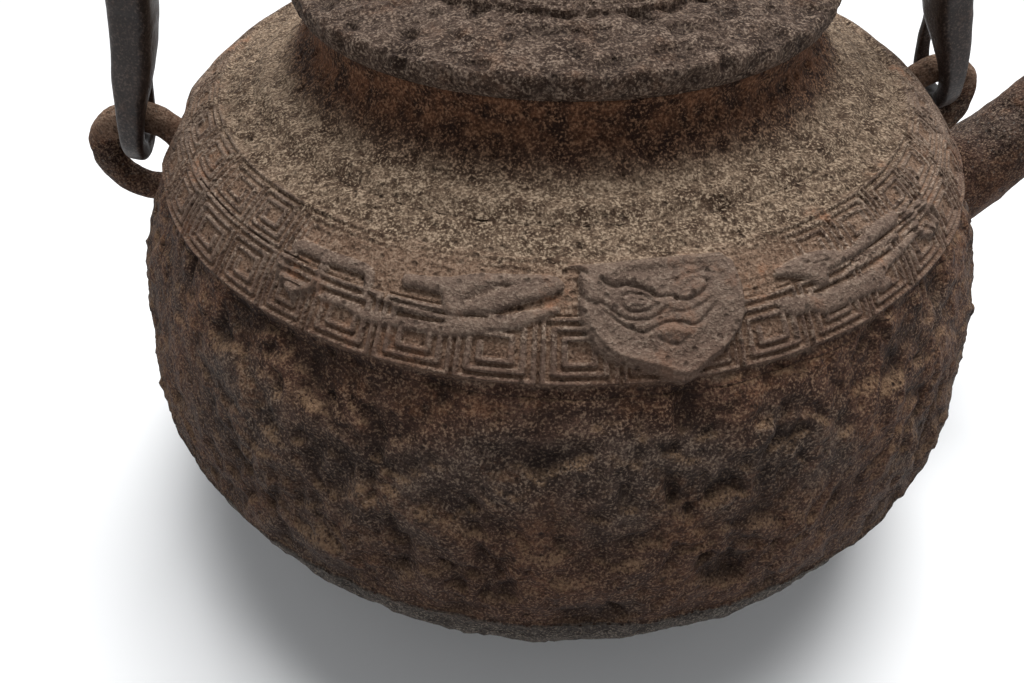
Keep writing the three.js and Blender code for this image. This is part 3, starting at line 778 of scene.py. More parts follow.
class Shader:
    """The node tree of a material or of the world, filled by expressions."""

    def __init__(self, owner: bpy.types.Material | bpy.types.World) -> None:
        """Empty the owner's tree."""
        owner.use_nodes = True
        self.tree = owner.node_tree
        self.tree.nodes.clear()

    def node(self, kind: str, settings: dict[str, object], inputs: dict[int | str, object],
             output: int | str = 0) -> Wire:
        """Add a node of any type.

        Args:
            kind: The node's type name.
            settings: Its properties, set before its sockets.
            inputs: Wires or plain values by socket name or number.
            output: The output to hand back, by name or number.

        Returns:
            The wire of that output.
        """
        made = self.tree.nodes.new(kind)
        for key, value in settings.items():
            setattr(made, key, value)
        for key, value in inputs.items():
            if isinstance(value, Wire):
                self.tree.links.new(value.socket, made.inputs[key])
            else:
                made.inputs[key].default_value = value
        return Wire(self, made.outputs[output] if len(made.outputs) else None)

    def place(self) -> Wire:
        """Give the object's own coordinates in millimetres."""
        where = self.node("ShaderNodeTexCoord", {}, {}, "Object")
        return self.node("ShaderNodeVectorMath", {"operation": "SCALE"}, {0: where, "Scale": 1000.0})

    def layer(self, name: str) -> Wire:
        """Read a float that the mesh keeps for each vertex."""
        return self.node("ShaderNodeAttribute", {"attribute_name": name}, {}, "Fac")

    def noise(self, where: Wire, scale: float, detail: float = 3.0, roughness: float = 0.55) -> Wire:
        """Give cloudy noise, 0 to 1; scale is in waves per millimetre."""
        return self.node(
            "ShaderNodeTexNoise", {"noise_dimensions": "3D"},
            {"Vector": where, "Scale": scale, "Detail": detail, "Roughness": roughness})

    def cells(self, where: Wire, scale: float) -> Wire:
        """Give the distance to scattered points, for pits and grains."""
        return self.node(
            "ShaderNodeTexVoronoi", {"feature": "F1"}, {"Vector": where, "Scale": scale}, "Distance")

    def step(self, value: Wire, low: float, high: float) -> Wire:
        """Ease from 0 at low to 1 at high, or down where high is below low."""
        ends = (low, high, 0.0, 1.0) if low < high else (high, low, 1.0, 0.0)
        return self.node(
            "ShaderNodeMapRange", {"interpolation_type": "SMOOTHSTEP"},
            {"Value": value, "From Min": ends[0], "From Max": ends[1], "To Min": ends[2],
             "To Max": ends[3]}, "Result")

    def mix(self, share: "Wire | float", low: "Wire | Colour", high: "Wire | Colour") -> Wire:
        """Blend two colours."""
        colours = [c if isinstance(c, Wire) else (*c, 1.0) for c in (low, high)]
        return self.node("ShaderNodeMix", {"data_type": "RGBA", "clamp_factor": True},
                         {0: share, 6: colours[0], 7: colours[1]}, 2)

    def bump(self, height: Wire, distance: float, strength: float = 1.0,
             under: Wire | None = None) -> Wire:
        """Turn a height into a normal, over another normal where one is given."""
        inputs: dict[int | str, object] = {
            "Height": height, "Distance": distance * MM, "Strength": strength}
        if under:
            inputs["Normal"] = under
        return self.node("ShaderNodeBump", {}, inputs, "Normal")

    def finish(self, inputs: dict[int | str, object]) -> None:
        """Join a principled surface with these inputs to the material's output."""
        surface = self.node("ShaderNodeBsdfPrincipled", {}, inputs, "BSDF")
        self.node("ShaderNodeOutputMaterial", {}, {"Surface": surface})


@dataclass(frozen=True)
class Grains:
    """The patterns that every iron finish reads, and the surface's own relief."""

    mm: Wire
    relief: Wire
    ledge: Wire
    patch: Wire
    mottle: Wire
    grain: Wire
    fine: Wire
    fleck: Wire

    @classmethod
    def lay(cls, s: Shader) -> "Grains":
        """Add the shared patterns to a shader."""
        mm = s.place()
        return cls(
            mm, s.layer("relief"), s.layer("ledge"), patch=s.noise(mm, 0.045, 4.0),
            mottle=s.noise(mm, 0.22, 4.0, 0.6), grain=s.noise(mm, 0.7, 4.0, 0.62),
            fine=s.noise(mm, 1.6, 3.0, 0.7), fleck=s.noise(mm, 2.4, 2.0, 0.6))


@dataclass(frozen=True)
class Tint:
    """The dark, the middle and the pale of one region of iron."""

    dark: Colour
    body: Colour
    pale: Colour

    def ground(self, s: Shader, g: Grains) -> Wire:
        """Mottle the three colours together."""
        colour = s.mix(s.step(g.mottle * 0.6 + g.grain * 0.4, 0.36, 0.60), self.dark, self.body)
        colour = s.mix(s.step(g.fine, 0.50, 0.34) * 0.85, colour, self.dark)
        return s.mix(s.step(g.fleck * 0.7 + g.grain * 0.3, 0.49, 0.63), colour, self.pale)


@dataclass(frozen=True)
class IronFinish:
    """The colours and the grain of one kind of iron surface."""

    name: str
    tint: Tint
    rust: Colour = (0.17, 0.075, 0.035)
    flake: Colour = (0.24, 0.24, 0.22)
    # near-black for painted shade in hollows, pits and under down-facing ledges, and for the grain's dark
    # specks
    shade_and_speck_dark: Colour = (0.010, 0.006, 0.005)
    glint: Colour = (0.270, 0.182, 0.122)
    rust_share: float = 0.4
    flake_share: float = 0.35
    grain: float = 0.9
    fine: float = 0.4
    roughness: float = 0.7
    shine: float = 0.07
    # share of painted shade on down-facing ledges
    underside_shade: float = 0.25
    sand: float = 0.25
    relief_low: float = -0.6
    relief_high: float = 0.6

    def material(self) -> bpy.types.Material:
        """Build the finish, from the colour through painted shade in hollows, pits and undersides and
        through grain to the normal.

        Returns:
            The material.
        """
        material = bpy.data.materials.new(self.name)
        s = Shader(material)
        g = Grains.lay(s)
        colour = self.colour(s, g)
        # painted shade: hollows of the relief, down-facing ledges and pits darken
        hollow = s.step(g.relief, self.relief_high, self.relief_low)
        colour = s.mix(hollow * 0.55, colour, self.shade_and_speck_dark)
        colour = s.mix(s.step(g.ledge, -0.05, -0.40) * self.underside_shade, colour, self.shade_and_speck_dark)
        pits = s.step(s.cells(g.mm, 0.55), 0.32, 0.06)
        colour = s.mix(pits * 0.5, colour, self.shade_and_speck_dark)
        sandy = 1 - self.bare(s, g)
        colour = s.mix(s.step(g.fleck, 0.48, 0.34) * sandy * 0.5, colour, self.shade_and_speck_dark)
        colour = s.mix(s.step(g.fleck, 0.53, 0.68) * sandy * self.sand, colour, self.glint)
        rough = self.roughness + 0.3 * g.grain - 0.15
        normal = s.bump(g.fine * 0.6 + g.fleck * 0.6, self.fine)
        normal = s.bump(g.grain * 0.7 - pits * 0.3 + g.mottle * 0.5, self.grain, under=normal)
        s.finish({"Base Color": colour, "Roughness": rough, "Metallic": 0.0,
                  "Specular IOR Level": self.shine, "Normal": normal})
        return material

    def bare(self, s: Shader, g: Grains) -> Wire:
        """Say where handling has rubbed the sand off."""
        return s.step(g.patch, 0.62, 0.75) * 0.3

    def colour(self, s: Shader, g: Grains) -> Wire:
        """Mix ground, rust and pale scale."""
        colour = self.tint.ground(s, g)
        rusty = s.step(s.noise(g.mm, 0.15, 5.0, 0.7), 0.52, 0.66) * s.step(g.grain, 0.35, 0.6)
        colour = s.mix(rusty * self.rust_share, colour, self.rust)
        return self.flakes(s, g, colour, s.step(g.patch, 0.45, 0.6))

    def flakes(self, s: Shader, g: Grains, colour: Wire, where: Wire) -> Wire:
        """Scatter pale scale flecks over part of the surface."""
        specks = s.step(s.cells(g.mm, 0.8), 0.3, 0.12) * s.step(g.fine, 0.42, 0.6)
        return s.mix(specks * where * self.flake_share, colour, self.flake)


@dataclass(frozen=True)
class CastingFinish(IronFinish):
    """The casting's finish, whose colours change from neck to base.

    Heights that its steps read: seam 47, band 88 to 98, plain strip to 101, neck to the rim.
    """

    flank: Tint = Tint((0.034, 0.016, 0.011), (0.096, 0.050, 0.034), (0.180, 0.106, 0.066))
    soot: Tint = Tint((0.024, 0.019, 0.016), (0.062, 0.051, 0.044), (0.140, 0.126, 0.108))
    shoulder: Tint = Tint((0.045, 0.026, 0.016), (0.175, 0.122, 0.083), (0.350, 0.268, 0.190))
    neck: Tint = Tint((0.012, 0.004, 0.003), (0.055, 0.021, 0.012), (0.200, 0.085, 0.040))
    groove: Colour = (0.185, 0.112, 0.072)
    # pale of the flank's up-facing ledges: partly their dusting, partly painted light from above
    ledge_dust_and_light: Colour = (0.210, 0.132, 0.078)
    rubbed: Colour = (0.135, 0.094, 0.073)
    bright_rust: Colour = (0.250, 0.105, 0.050)

    def bare(self, s: Shader, g: Grains) -> Wire:
        """Say where the raised ornament is rubbed smooth."""
        return s.step(g.relief, 0.72, 1.0) * 0.75

    def colour(self, s: Shader, g: Grains) -> Wire:
        """Mix the regions' grounds with the ornament's dusty strip, rust streaks and soot, and paint light
        and shade on the flank.

        Args:
            s: The shader to add to.
            g: Its shared patterns.

        Returns:
            The colour, before the painted shade of hollows and the grain that every finish adds.
        """
        x = s.node("ShaderNodeSeparateXYZ", {}, {0: g.mm}, "X")
        y, z = x.beside("Y"), x.beside("Z")
        radius = (x * x + y * y) ** 0.5
        drift = (g.mottle - 0.5) * 10.0
        band = s.step(radius, 63.0, 66.0) * s.step(z, 87.6, 88.8)
        flank = s.step(z, 90.0, 87.0)
        hollow = s.step(g.relief + g.mottle * 0.2, 0.82, 0.56) * band
        dusty = s.step(z, 97.8, 99.2) * s.step(radius + drift, 70.0, 63.0)
        dim = s.step(radius + drift * 0.5, 54.5, 49.0) * s.step(z, 101.0, 103.0)
        bloom = s.step(s.noise(g.mm, 0.11, 4.0, 0.65), 0.56, 0.68) * band * s.step(g.grain, 0.38, 0.55)
        under_lid = s.step(z, 105.5, 109.0) * s.step(g.mottle, 0.40, 0.60)
        side = s.step(g.patch, 0.40, 0.62) * s.step(z, 90.0, 80.0)
        level = s.node("ShaderNodeVectorMath", {"operation": "MULTIPLY"}, {0: g.mm, 1: (0.09, 0.09, 0.16)})
        tan = s.step(s.noise(level, 1.0, 5.0, 0.7), 0.50, 0.62)
        tan = tan * s.step(g.grain, 0.36, 0.58) * s.step(z, 96.0, 86.0)
        # painted light, partly dusting: the flank's up-facing ledges turn pale
        dust_and_light = s.step(g.ledge, 0.06, 0.34) * s.step(g.fine, 0.36, 0.56)
        # painted shade on the flank: its hollows and down-facing ledges darken
        deep = s.step(g.relief, -0.3, -1.8) * 0.6 + s.step(g.ledge, -0.05, -0.4) * 0.4
        below_seam = 1 - s.step(z + drift * 0.25, 42.6, 46.4)
        line = s.step(z, 45.6, 46.4) * s.step(z, 47.4, 46.7) * s.step(g.grain, 0.4, 0.5)
        colour = self.tint.ground(s, g)
        for share, over in (
            (hollow * 0.6, self.groove),
            (s.step(z + drift * 0.3, 88.9, 87.6), self.flank.ground(s, g)),
            (dusty, self.shoulder.ground(s, g)),
            (dim * 0.8, self.neck.ground(s, g)),
            (bloom * 0.55, self.bright_rust),
            (under_lid * 0.35, self.bright_rust),
            (side * 0.6, self.soot.ground(s, g)),
            (tan * 0.3, self.rust),
            (self.bare(s, g) * band * 0.8, self.rubbed),
            (s.step(z, 95.0, 89.5) * band * 0.45, self.flank.body),
            (dust_and_light * flank * 0.7, self.ledge_dust_and_light),
            (deep * flank, self.shade_and_speck_dark),
            # painted shade: the flank darkens towards the bottom
            (s.step(z, 80.0, 55.0) * 0.3, self.flank.dark),
            (below_seam, self.soot.ground(s, g)),
            (line * 0.6, self.flake),
        ):
            colour = s.mix(share, colour, over)
        wide = s.step((x * x) ** 0.5 + drift * 3.0, 40.0, 75.0)
        return self.flakes(s, g, colour, wide * 0.8 + s.step(z, 48.0, 44.0) * 0.5)


BODY_FINISH = CastingFinish(
    "cast_body", Tint((0.075, 0.046, 0.033), (0.195, 0.136, 0.100), (0.330, 0.255, 0.196)),
    rust_share=0.25, relief_low=-1.8, relief_high=-0.1)
LID_FINISH = IronFinish(
    "cast_lid", Tint((0.034, 0.020, 0.014), (0.118, 0.080, 0.060), (0.250, 0.190, 0.148)),
    rust_share=0.25, flake_share=0.15, relief_low=-1.1, relief_high=0.4)
KNOB_FINISH = IronFinish(
    "knob_iron", Tint((0.022, 0.015, 0.012), (0.062, 0.044, 0.034), (0.120, 0.092, 0.075)),
    rust_share=0.3, flake_share=0.2, grain=0.25, fine=0.12, roughness=0.52, shine=0.3, sand=0.12)
BAIL_FINISH = IronFinish(
    "forged_bail", Tint((0.016, 0.011, 0.010), (0.034, 0.024, 0.021), (0.070, 0.053, 0.047)),
    rust=(0.085, 0.045, 0.028), rust_share=0.3, flake_share=0.15, grain=0.16, fine=0.08,
    roughness=0.45, shine=0.35, sand=0.1, relief_low=-0.35, relief_high=0.1)


def dress(obj: bpy.types.Object, finish: bpy.types.Material, slot: str, body: str, *nodes: str) -> None:
    """Give a piece its finish and its body, and hide the CAD nodes that it stands for."""
    obj.data.materials.clear()
    obj.data.materials.append(finish)
    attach(obj, body)
    if nodes:
        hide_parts(*nodes)
    log.info("%s: %d faces on %s", obj.name, len(obj.data.polygons), body)


# The kettle's parts


@dataclass(frozen=True)
class KettleCasting:
    """The one iron casting: bowl, flank, ornament band, neck, ring lugs and spout.

    Arc lengths run down the outside: the neck ends at the crease at 19.5, the plain strip at
    25, the ornament at 43. The rock-like flank follows from 44.6 to the mould seam.
    """

    body_radius: float = 95.0
    widest: float = 95.42
    seam_height: float = 47.0
    seam_ridge: float = 0.4
    base_radius: float = 50.0
    base_recess: float = 0.5
    shoulder_radius: float = 59.5
    shoulder_height: float = 53.8
    wall: float = 3.6
    crease_arc: float = 19.5
    band_end_arc: float = 44.6
    mouth_radius: float = 42.0
    rim_height: float = 113.1
    lug_inset: float = 9.2
    lug_height: float = 36.5
    lug_ring: float = 8.0
    lug_bar: float = 3.1
    spout_root: tuple[float, float] = (-11.0, 5.0)
    spout_bend: tuple[float, float] = (14.0, 13.0)
    spout_tip: tuple[float, float] = (26.0, 42.0)
    spout_root_radius: float = 15.5
    spout_tip_radius: float = 8.2
    spout_wall: float = 2.4
    band: OrnamentBand = field(default_factory=OrnamentBand)

    def flank_path(self, wall: float = 0.0) -> Array:
        """Draw the flank from the crease down to the seam."""
        radius = self.body_radius - wall
        inset = radius - (self.shoulder_radius - wall * 0.6)
        rise = self.shoulder_height - wall
        seam = self.seam_height
        return bezier((
            (radius - inset, seam + rise), (radius - inset * 0.287, seam + rise * 0.907),
            (radius - inset * 0.093, seam + rise * 0.255), (radius, seam)), 160)

    def bowl_path(self, wall: float = 0.0) -> Array:
        """Draw the bowl from the seam down to the base's edge."""
        radius = self.body_radius - wall
        depth = self.seam_height - wall
        seam = self.seam_height
        return bezier((
            (radius, seam), (radius * 0.983, seam - depth * 0.415),
            (radius * 0.806, seam - depth * 0.985), (self.base_radius - wall / 2, wall)), 160)

    def neck_path(self) -> Array:
        """Draw the outside from the rim over neck, cove and rib to the crease."""
        crease = self.seam_height + self.shoulder_height
        drops = (
            (46.45, 12.3), (46.9, 11.8), (46.9, 9.6), (47.2, 8.2), (48.7, 6.4), (50.2, 4.8),
            (52.0, 3.2), (53.8, 2.1), (55.2, 1.75), (56.4, 1.7), (57.5, 1.25), (58.5, 0.45),
            (59.5, 0.0))
        return catmull(np.array([(radius, crease + rise) for radius, rise in drops]), 10)

    def skin(self, place: Array) -> Array:
        """Give the sand-cast skin that every face of the casting has."""
        return 0.16 * SKIN.layers(place / 5.0, 3) + 0.07 * SKIN.at(place / 1.3)

    def rock(self, place: Array) -> Array:
        """Give the rock-like roughness of flank and bowl, lying in level folds."""
        warp = np.stack([ROCK.at(place / 8.0), ROCK.at(place / 8.0 + 31), ROCK.at(place / 11.0 + 63)], 1)
        folds = place * np.array([1, 1, 0.85]) + warp * 2.6
        swell = ROCK.layers(place / 16.0 + 4, 2)
        lumps = ROCK.layers(folds / 10.0, 3, 0.55)
        crags = 0.3 - np.abs(ROCK.layers(folds / 6.0 + 5, 2))
        chips = ROCK.layers(place / 2.4 + 9, 2, 0.6)
        pits = smooth(0.15, 0.5, ROCK.at(folds / 3.4 + 77))
        patch = 0.8 + 0.5 * np.clip(ROCK.at(place / 22.0 + 8), -1, 1)
        return 0.5 * swell + patch * (1.2 * lumps + 0.7 * crags - 0.7 * pits) + 0.18 * chips - 0.3

    def by_hook(self, place: Array) -> Array:
        """Say how near a place is to a ring lug, where the bail's hook needs a smooth wall."""
        reach = self.body_radius - self.lug_inset - 3.0
        middle = np.array([reach, -2.0, self.seam_height + self.lug_height + 2.0])
        away = np.linalg.norm(np.abs(place * [1, 0, 0]) + place * [0, 1, 1] - middle, axis=1)
        return smooth(15.0, 9.0, away)

    def crease(self, place: Array, arc: Array) -> Array:
        """Give the worn groove between the neck's rib and the band's plain strip."""
        return bump(self.crease_arc, 1.2, arc) * (0.12 + 0.2 * WEAR.layers(place / 3.0, 2))

    def flank_relief(self, azimuth: Array, arc: Array, place: Array) -> Array:
        """Combine the wall's roughness from the crease to the base.

        Args:
            azimuth: Degrees from the front, positive towards the spout.
            arc: Millimetres along the outside.
            place: Rows of x, y, z in millimetres.

        Returns:
            Height over the plain wall, in millimetres.
        """
        seam_arc = self.seam_arc()
        rough = smooth(42.4, 44.4, arc)
        below = smooth(seam_arc + 0.8, seam_arc + 3.0, arc)
        by_seam = bump(seam_arc, 4.0, arc)
        relief = self.skin(place) + rough * self.rock(place) * (1 - 0.45 * below) * (1 - 0.75 * by_seam)
        relief += bump(seam_arc, 0.8, arc) * self.seam_ridge * (0.85 + 0.3 * SKIN.at(place / 6.0))
        relief -= 0.5 * below * smooth(seam_arc + 9, seam_arc + 3, arc)
        radius = from_axis(place)
        hook = self.by_hook(place)
        relief = relief * (1 - hook) - 0.35 * hook
        room = self.widest - radius
        relief = np.minimum(relief - 0.6 * smooth(2.0, 0.3, room), room)
        on_base = smooth(self.base_radius + 3, self.base_radius - 1, radius) * (place[:, 2] < 5)
        foot = -self.base_recess * smooth(44.0, 42.0, radius) + 0.35 * smooth(9.0, 8.0, radius)
        flat = np.minimum(foot + 0.5 * self.skin(place), 0) - 0.02
        relief = relief * (1 - on_base) + flat * on_base
        return np.where(place[:, 2] < 4.0, np.minimum(relief, place[:, 2]), relief)

    def tucked_relief(self, azimuth: Array, arc: Array, place: Array) -> Array:
        """Roughen the flank and tuck its first rows under the band's lower edge."""
        tuck = 0.6 * smooth(self.band_end_arc, self.band_end_arc - 0.6, arc)
        return self.flank_relief(azimuth, arc, place) - tuck

    def band_relief(self, azimuth: Array, arc: Array, place: Array) -> Array:
        """Combine strip, ornament and the top of the flank."""
        clear = 1 - self.by_hook(place)
        ornament = self.band.height(azimuth, arc, place) * clear
        strip = smooth(25.4, 24.6, arc)
        sand = 0.22 * SKIN.layers(place / 2.1, 3) - 0.3 * smooth(0.3, 0.62, ROCK.at(place / 1.9))
        field_level = 0.22 * smooth(24.7, 25.5, arc) * smooth(43.3, 42.6, arc) * clear
        lip = 0.22 * bump(25.2, 0.5, arc) * smooth(-0.1, 0.3, WEAR.at(place / 4.0))
        covered = smooth(0.15, 0.5, ornament)
        wall = self.flank_relief(azimuth, arc, place) * (1 - 0.55 * covered)
        calm = 1 - 0.75 * smooth(25.0, 26.0, arc) * smooth(43.4, 42.4, arc)
        return ornament + field_level + lip + strip * sand - self.crease(place, arc) + wall * calm

    def neck_relief(self, azimuth: Array, arc: Array, place: Array) -> Array:
        """Roughen neck, cove and rib, and keep the rim flat under the lid."""
        sand = 0.3 * SKIN.layers(place / 2.3, 3) - 0.4 * smooth(0.25, 0.6, ROCK.at(place / 2.0))
        fade = smooth(-0.5, 2.0, arc)
        cove = smooth(3.0, 6.0, arc) * smooth(16.0, 12.0, arc)
        return fade * (self.skin(place) + sand * (0.45 + 0.55 * cove)) - self.crease(place, arc)

    def seam_arc(self) -> float:
        """Measure the arc length at which the flank meets the seam."""
        return self.crease_arc + float(np.hypot(*np.diff(self.flank_path(), axis=0).T).sum())

    def build(self, finish: bpy.types.Material) -> None:
        """Make and dress every zone of the casting.

        Args:
            finish: The material of all its zones.
        """
        seam_arc = self.seam_arc()
        flank = Run.even(self.flank_path(), 0.22, self.crease_arc)
        inner_flank = self.flank_path(self.wall)
        cut_height = float(np.interp(self.band_end_arc, flank.arc, flank.points[:, 1])) - 2.4
        cut = (float(np.interp(-cut_height, -inner_flank[:, 1], inner_flank[:, 0])), cut_height)
        upper = [p for p in inner_flank[::20] if p[1] > cut_height]
        lower = [p for p in inner_flank[::20] if p[1] < cut_height]
        base = [(45.0, 0.0), (20.0, 0.0), (0.0, 0.0)]
        bowl_run = Run.even(np.vstack([self.bowl_path(), base]), 1.0, seam_arc)
        bowl_inside = [(0.0, self.wall), *self.bowl_path(self.wall)[::-12]]
        joint = flank.part(self.band_end_arc - 1.0, seam_arc)
        flank_run = Run.even(joint.points, 0.6, joint.arc[0])
        band_run = Run.even(flank.part(0, self.band_end_arc + 0.01).points, 0.21, self.crease_arc)
        side_run = Run.even(band_run.points, 0.33, self.crease_arc)
        neck_run = Run.even(self.neck_path(), 0.42)
        neck_run = Run(neck_run.points, neck_run.arc + self.crease_arc - neck_run.arc[-1], neck_run.out)
        crease = self.seam_height + self.shoulder_height
        neck_inside = [
            tuple(inner_flank[0]), (self.mouth_radius + 1.9, crease + 2.8),
            (self.mouth_radius, crease + 6.4), (self.mouth_radius, self.rim_height - 0.4),
            (self.mouth_radius + 0.4, self.rim_height)]
        pieces = [
            finish_object(name, spun_wall(name, run, inside, relief, steps))
            for name, run, inside, relief, steps in (
                ("casting_bowl", bowl_run, bowl_inside, self.flank_relief, 600),
                ("casting_neck", neck_run, neck_inside, self.neck_relief, 720),
                ("casting_flank", flank_run, [*lower[::-1], cut], self.tucked_relief, 900))]
        self._drill(pieces[-1], 0.8, 6.0)
        pieces.append(self._spout())
        for name, run, start, sweep, steps in (
            ("casting_band_front", band_run, -64.0, 126.0, 700),
            ("casting_band_right", side_run, 62.0, 54.0, 190),
            ("casting_band_back", band_run, 116.0, 126.0, 700),
            ("casting_band_left", side_run, 242.0, 54.0, 190),
        ):
            mesh = spun_wall(name, run, [cut, *upper[::-1]], self.band_relief, steps, start, sweep)
            pieces.append(finish_object(name, mesh, 75.0))
        pieces += [self._lug("casting_lug_left", -1), self._lug("casting_lug_right", 1)]
        for piece in pieces:
            dress(piece, finish, "cast_body", "kettle", "kettle_body")

    def _spout_curve(self, extra: float, steps: int) -> Array:
        """Draw the spout's middle line, lengthened at both ends."""
        root, bend, tip = (
            np.array([self.body_radius + x, 0.0, self.seam_height + z])
            for x, z in (self.spout_root, self.spout_bend, self.spout_tip))
        share = np.linspace(0, 1, steps)[:, None]
        line = root * (1 - share) ** 2 + 2 * bend * share * (1 - share) + tip * share**2
        if extra == 0:
            return line
        ends = unit(np.stack([line[0] - line[1], line[-1] - line[-2]])) * extra
        return np.vstack([line[0] + ends[0], line, line[-1] + ends[1]])

    def _spout_tube(self, name: str, inset: float, extra: float) -> bpy.types.Mesh:
        """Sweep a round bar along the spout.

        Args:
            name: The mesh's name.
            inset: How much thinner than the spout the bar is; 0 for the spout itself.
            extra: How far the bar goes on past both ends.

        Returns:
            The bar in millimetres.
        """
        centre = self._spout_curve(extra, 40)
        share = np.linspace(0, 1, len(centre))
        radius = self.spout_root_radius + (self.spout_tip_radius - self.spout_root_radius) * share**0.8
        if inset > 0:
            radius = radius - inset
        else:
            radius = radius + 3.2 * smooth(0.3, 0.05, share) + 0.5 * smooth(0.93, 0.98, share) - 0.4
        size = np.stack([2 * radius] * 2, 1)
        across = np.cross(np.gradient(centre, axis=0), AXIS_Y)
        mesh = straight_bar(72, 90, name)
        write_rows(mesh, Sweep(centre, across, size).bend(mesh, 2.0))
        return mesh

    def _spout(self) -> bpy.types.Object:
        """Make the hollow spout, trimmed where it meets the water space."""
        mesh = self._spout_tube("casting_spout", 0.0, 0.0)
        roughen(mesh, read_rows(mesh), lambda place: self.skin(place) - 0.2
                + 0.3 * ROCK.layers(place / 5.0, 2) * smooth(90.0, 80.0, place[:, 2]))
        spout = finish_object("casting_spout", mesh)
        self._drill(spout, 0.0, 3.0)
        self._open_inside(spout)
        return spout

    def _drill(self, obj: bpy.types.Object, spare: float, extra: float) -> None:
        """Cut the spout's bore, widened by spare and lengthened by extra, out of a piece."""
        bore = self._spout_tube("bore", self.spout_wall - spare, extra)
        write_rows(bore, read_rows(bore) * MM)
        cut_out(obj, finish_object("bore", bore))

    def _open_inside(self, obj: bpy.types.Object) -> None:
        """Cut the water space out of a piece that is rooted in the wall."""
        path = np.vstack([self.flank_path(self.wall - 1.2), self.bowl_path(self.wall - 1.2)])[::16]
        space = spun_wall("space", Run.even(path, 4.0), [(0.0, self.wall), (0.0, 90.0)], plain, 120)
        cut_out(obj, finish_object("space", space))

    def _lug(self, name: str, side: int) -> bpy.types.Object:
        """Make a ring lug with its root melted into the wall.

        Args:
            name: The piece's name.
            side: 1 at the spout, -1 opposite.

        Returns:
            The lug.
        """
        reach = self.body_radius - self.lug_inset
        middle = Vector((side * reach, 0, self.seam_height + self.lug_height))
        bm = bmesh.new()
        bmesh.ops.create_circle(
            bm, segments=24, radius=self.lug_bar,
            matrix=Matrix.Translation((self.lug_ring, 0, 0)) @ Matrix.Rotation(math.pi, 4, "X"))
        bmesh.ops.spin(
            bm, geom=[*bm.verts, *bm.edges], cent=(0, 0, 0), axis=(0, 1, 0), dvec=(0, 0, 0),
            angle=math.tau, steps=56, use_merge=True)
        for lift, out, radius in ((-6.6, -6.2, 3.7), (1.5, -8.4, 3.3), (-9.2, -1.5, 3.5)):
            bmesh.ops.create_icosphere(
                bm, subdivisions=3, radius=radius, matrix=Matrix.Translation((side * out, 0, lift)))
        bmesh.ops.translate(bm, verts=bm.verts, vec=middle)
        bmesh.ops.recalc_face_normals(bm, faces=bm.faces)
        bmesh.ops.scale(bm, verts=bm.verts, vec=(MM, MM, MM))
        obj = finish_object(name, to_mesh(bm, name))
        remesh = obj.modifiers.new("melt", "REMESH")
        remesh.mode = "VOXEL"
        remesh.voxel_size = 0.45 * MM
        soften = obj.modifiers.new("soften", "SMOOTH")
        soften.factor = 0.6
        soften.iterations = 8
        apply_modifiers(obj)
        roughen(obj.data, read_rows(obj.data) / MM,
                lambda place: self.skin(place) - 0.15 + 0.2 * ROCK.layers(place / 5.0, 2))
        self._open_inside(obj)
        obj.data.shade_smooth()
        return obj


